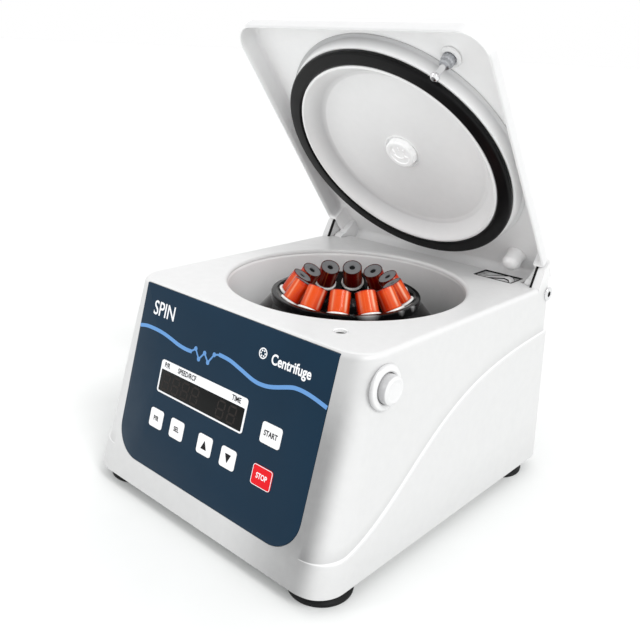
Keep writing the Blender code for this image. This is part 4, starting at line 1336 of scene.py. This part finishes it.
def kept_nodes():
    """CAD nodes whose shape is right keep it, and get their material and soft edges."""
    looks = {
        "base_plate": "zinc", "motor_mount_plate": "zinc", "motor_housing": "black", "drive_shaft": "steel",
        "transformer": "steel", "control_board": "board", "display_module": "black", "latch_slide": "zinc",
        "latch_guide": "black", "power_inlet": "black", "switch_frame": "black", "switch_rocker": "black",
    }
    for number in range(1, 5):
        looks[f"damper_mount_{number}"] = "rubber"
    for name, look in looks.items():
        obj = frame["nodes"][name]
        obj.data.materials.clear()
        obj.data.materials.append(MATERIALS[look])
        soft = obj.modifiers.new("soft_edges", "BEVEL")
        soft.width = 0.0004
        soft.segments = 2
        soft.limit_method = "ANGLE"
        soft.angle_limit = math.radians(40)


# ---------------------------------------------------------------- stage


def stage():
    bm = bmesh.new()
    bmesh.ops.create_grid(bm, x_segments=8, y_segments=8, size=60.0)
    mesh = bpy.data.meshes.new("floor")
    bm.to_mesh(mesh)
    bm.free()
    mesh.materials.append(MATERIALS["floor"])
    floor = add_object("floor", mesh)


def area_light(name, place, target, size, watts):
    data = bpy.data.lights.new(name, "AREA")
    data.shape = "RECTANGLE"
    data.size, data.size_y = size
    data.energy = watts
    obj = add_object(name, data)
    obj.location = place
    aim = Vector(target) - Vector(place)
    obj.rotation_euler = aim.to_track_quat("-Z", "Y").to_euler()


def lights():
    world = bpy.data.worlds.new("studio")
    world.use_nodes = True
    background = world.node_tree.nodes["Background"]
    background.inputs["Color"].default_value = (1, 1, 1, 1)
    background.inputs["Strength"].default_value = 1.0
    bpy.context.scene.world = world
    target = (0, 0, 0.14)
    sun = bpy.data.lights.new("key", "SUN")
    sun.energy = 1.15
    sun.angle = math.radians(18)
    key = add_object("key", sun)
    key.rotation_euler = Vector((-1.0, 0.15, -1.05)).to_track_quat("-Z", "Y").to_euler()
    area_light("strip_right", (1.05, -0.75, 0.75), target, (0.05, 0.9), 1.6)
    area_light("strip_left", (-0.55, -1.15, 0.9), target, (0.05, 0.9), 1.6)
    bpy.context.scene.view_settings.view_transform = "Standard"


PHOTO_WIDTH, FOCAL_LENGTH = 640, 755.87
EYE = (0.408033, -0.317689, 0.358302)


def camera():
    """The eye and its turn were worked out from the casing's edges and the panel."""
    yaw, pitch, roll = 0.723017, 0.343196, 0.0479034
    ahead = Vector((-math.sin(yaw) * math.cos(pitch), math.cos(yaw) * math.cos(pitch), -math.sin(pitch)))
    right = Vector((math.cos(yaw), math.sin(yaw), 0))
    level, plumb = right, right.cross(ahead)
    right = math.cos(roll) * level + math.sin(roll) * plumb
    up = math.cos(roll) * plumb - math.sin(roll) * level
    data = bpy.data.cameras.new("camera")
    data.sensor_width = 36.0
    data.lens = FOCAL_LENGTH / PHOTO_WIDTH * data.sensor_width
    obj = add_object("camera", data)
    turn = Matrix((right, up, -ahead)).transposed().to_4x4()
    obj.matrix_world = CASE @ Matrix.Translation(EYE) @ turn
    bpy.context.scene.camera = obj


casing()
feet()
panel_sheet()
keys()
display()
decoration()
chamber()
rotor()
tubes()
lid_shell()
lid_inside()
striker()
striker_guide()
lid_boss()
cheek_gap_shadows()
hinge_screws()
release_button()
deck_switch()
kept_nodes()
stage()
lights()
camera()
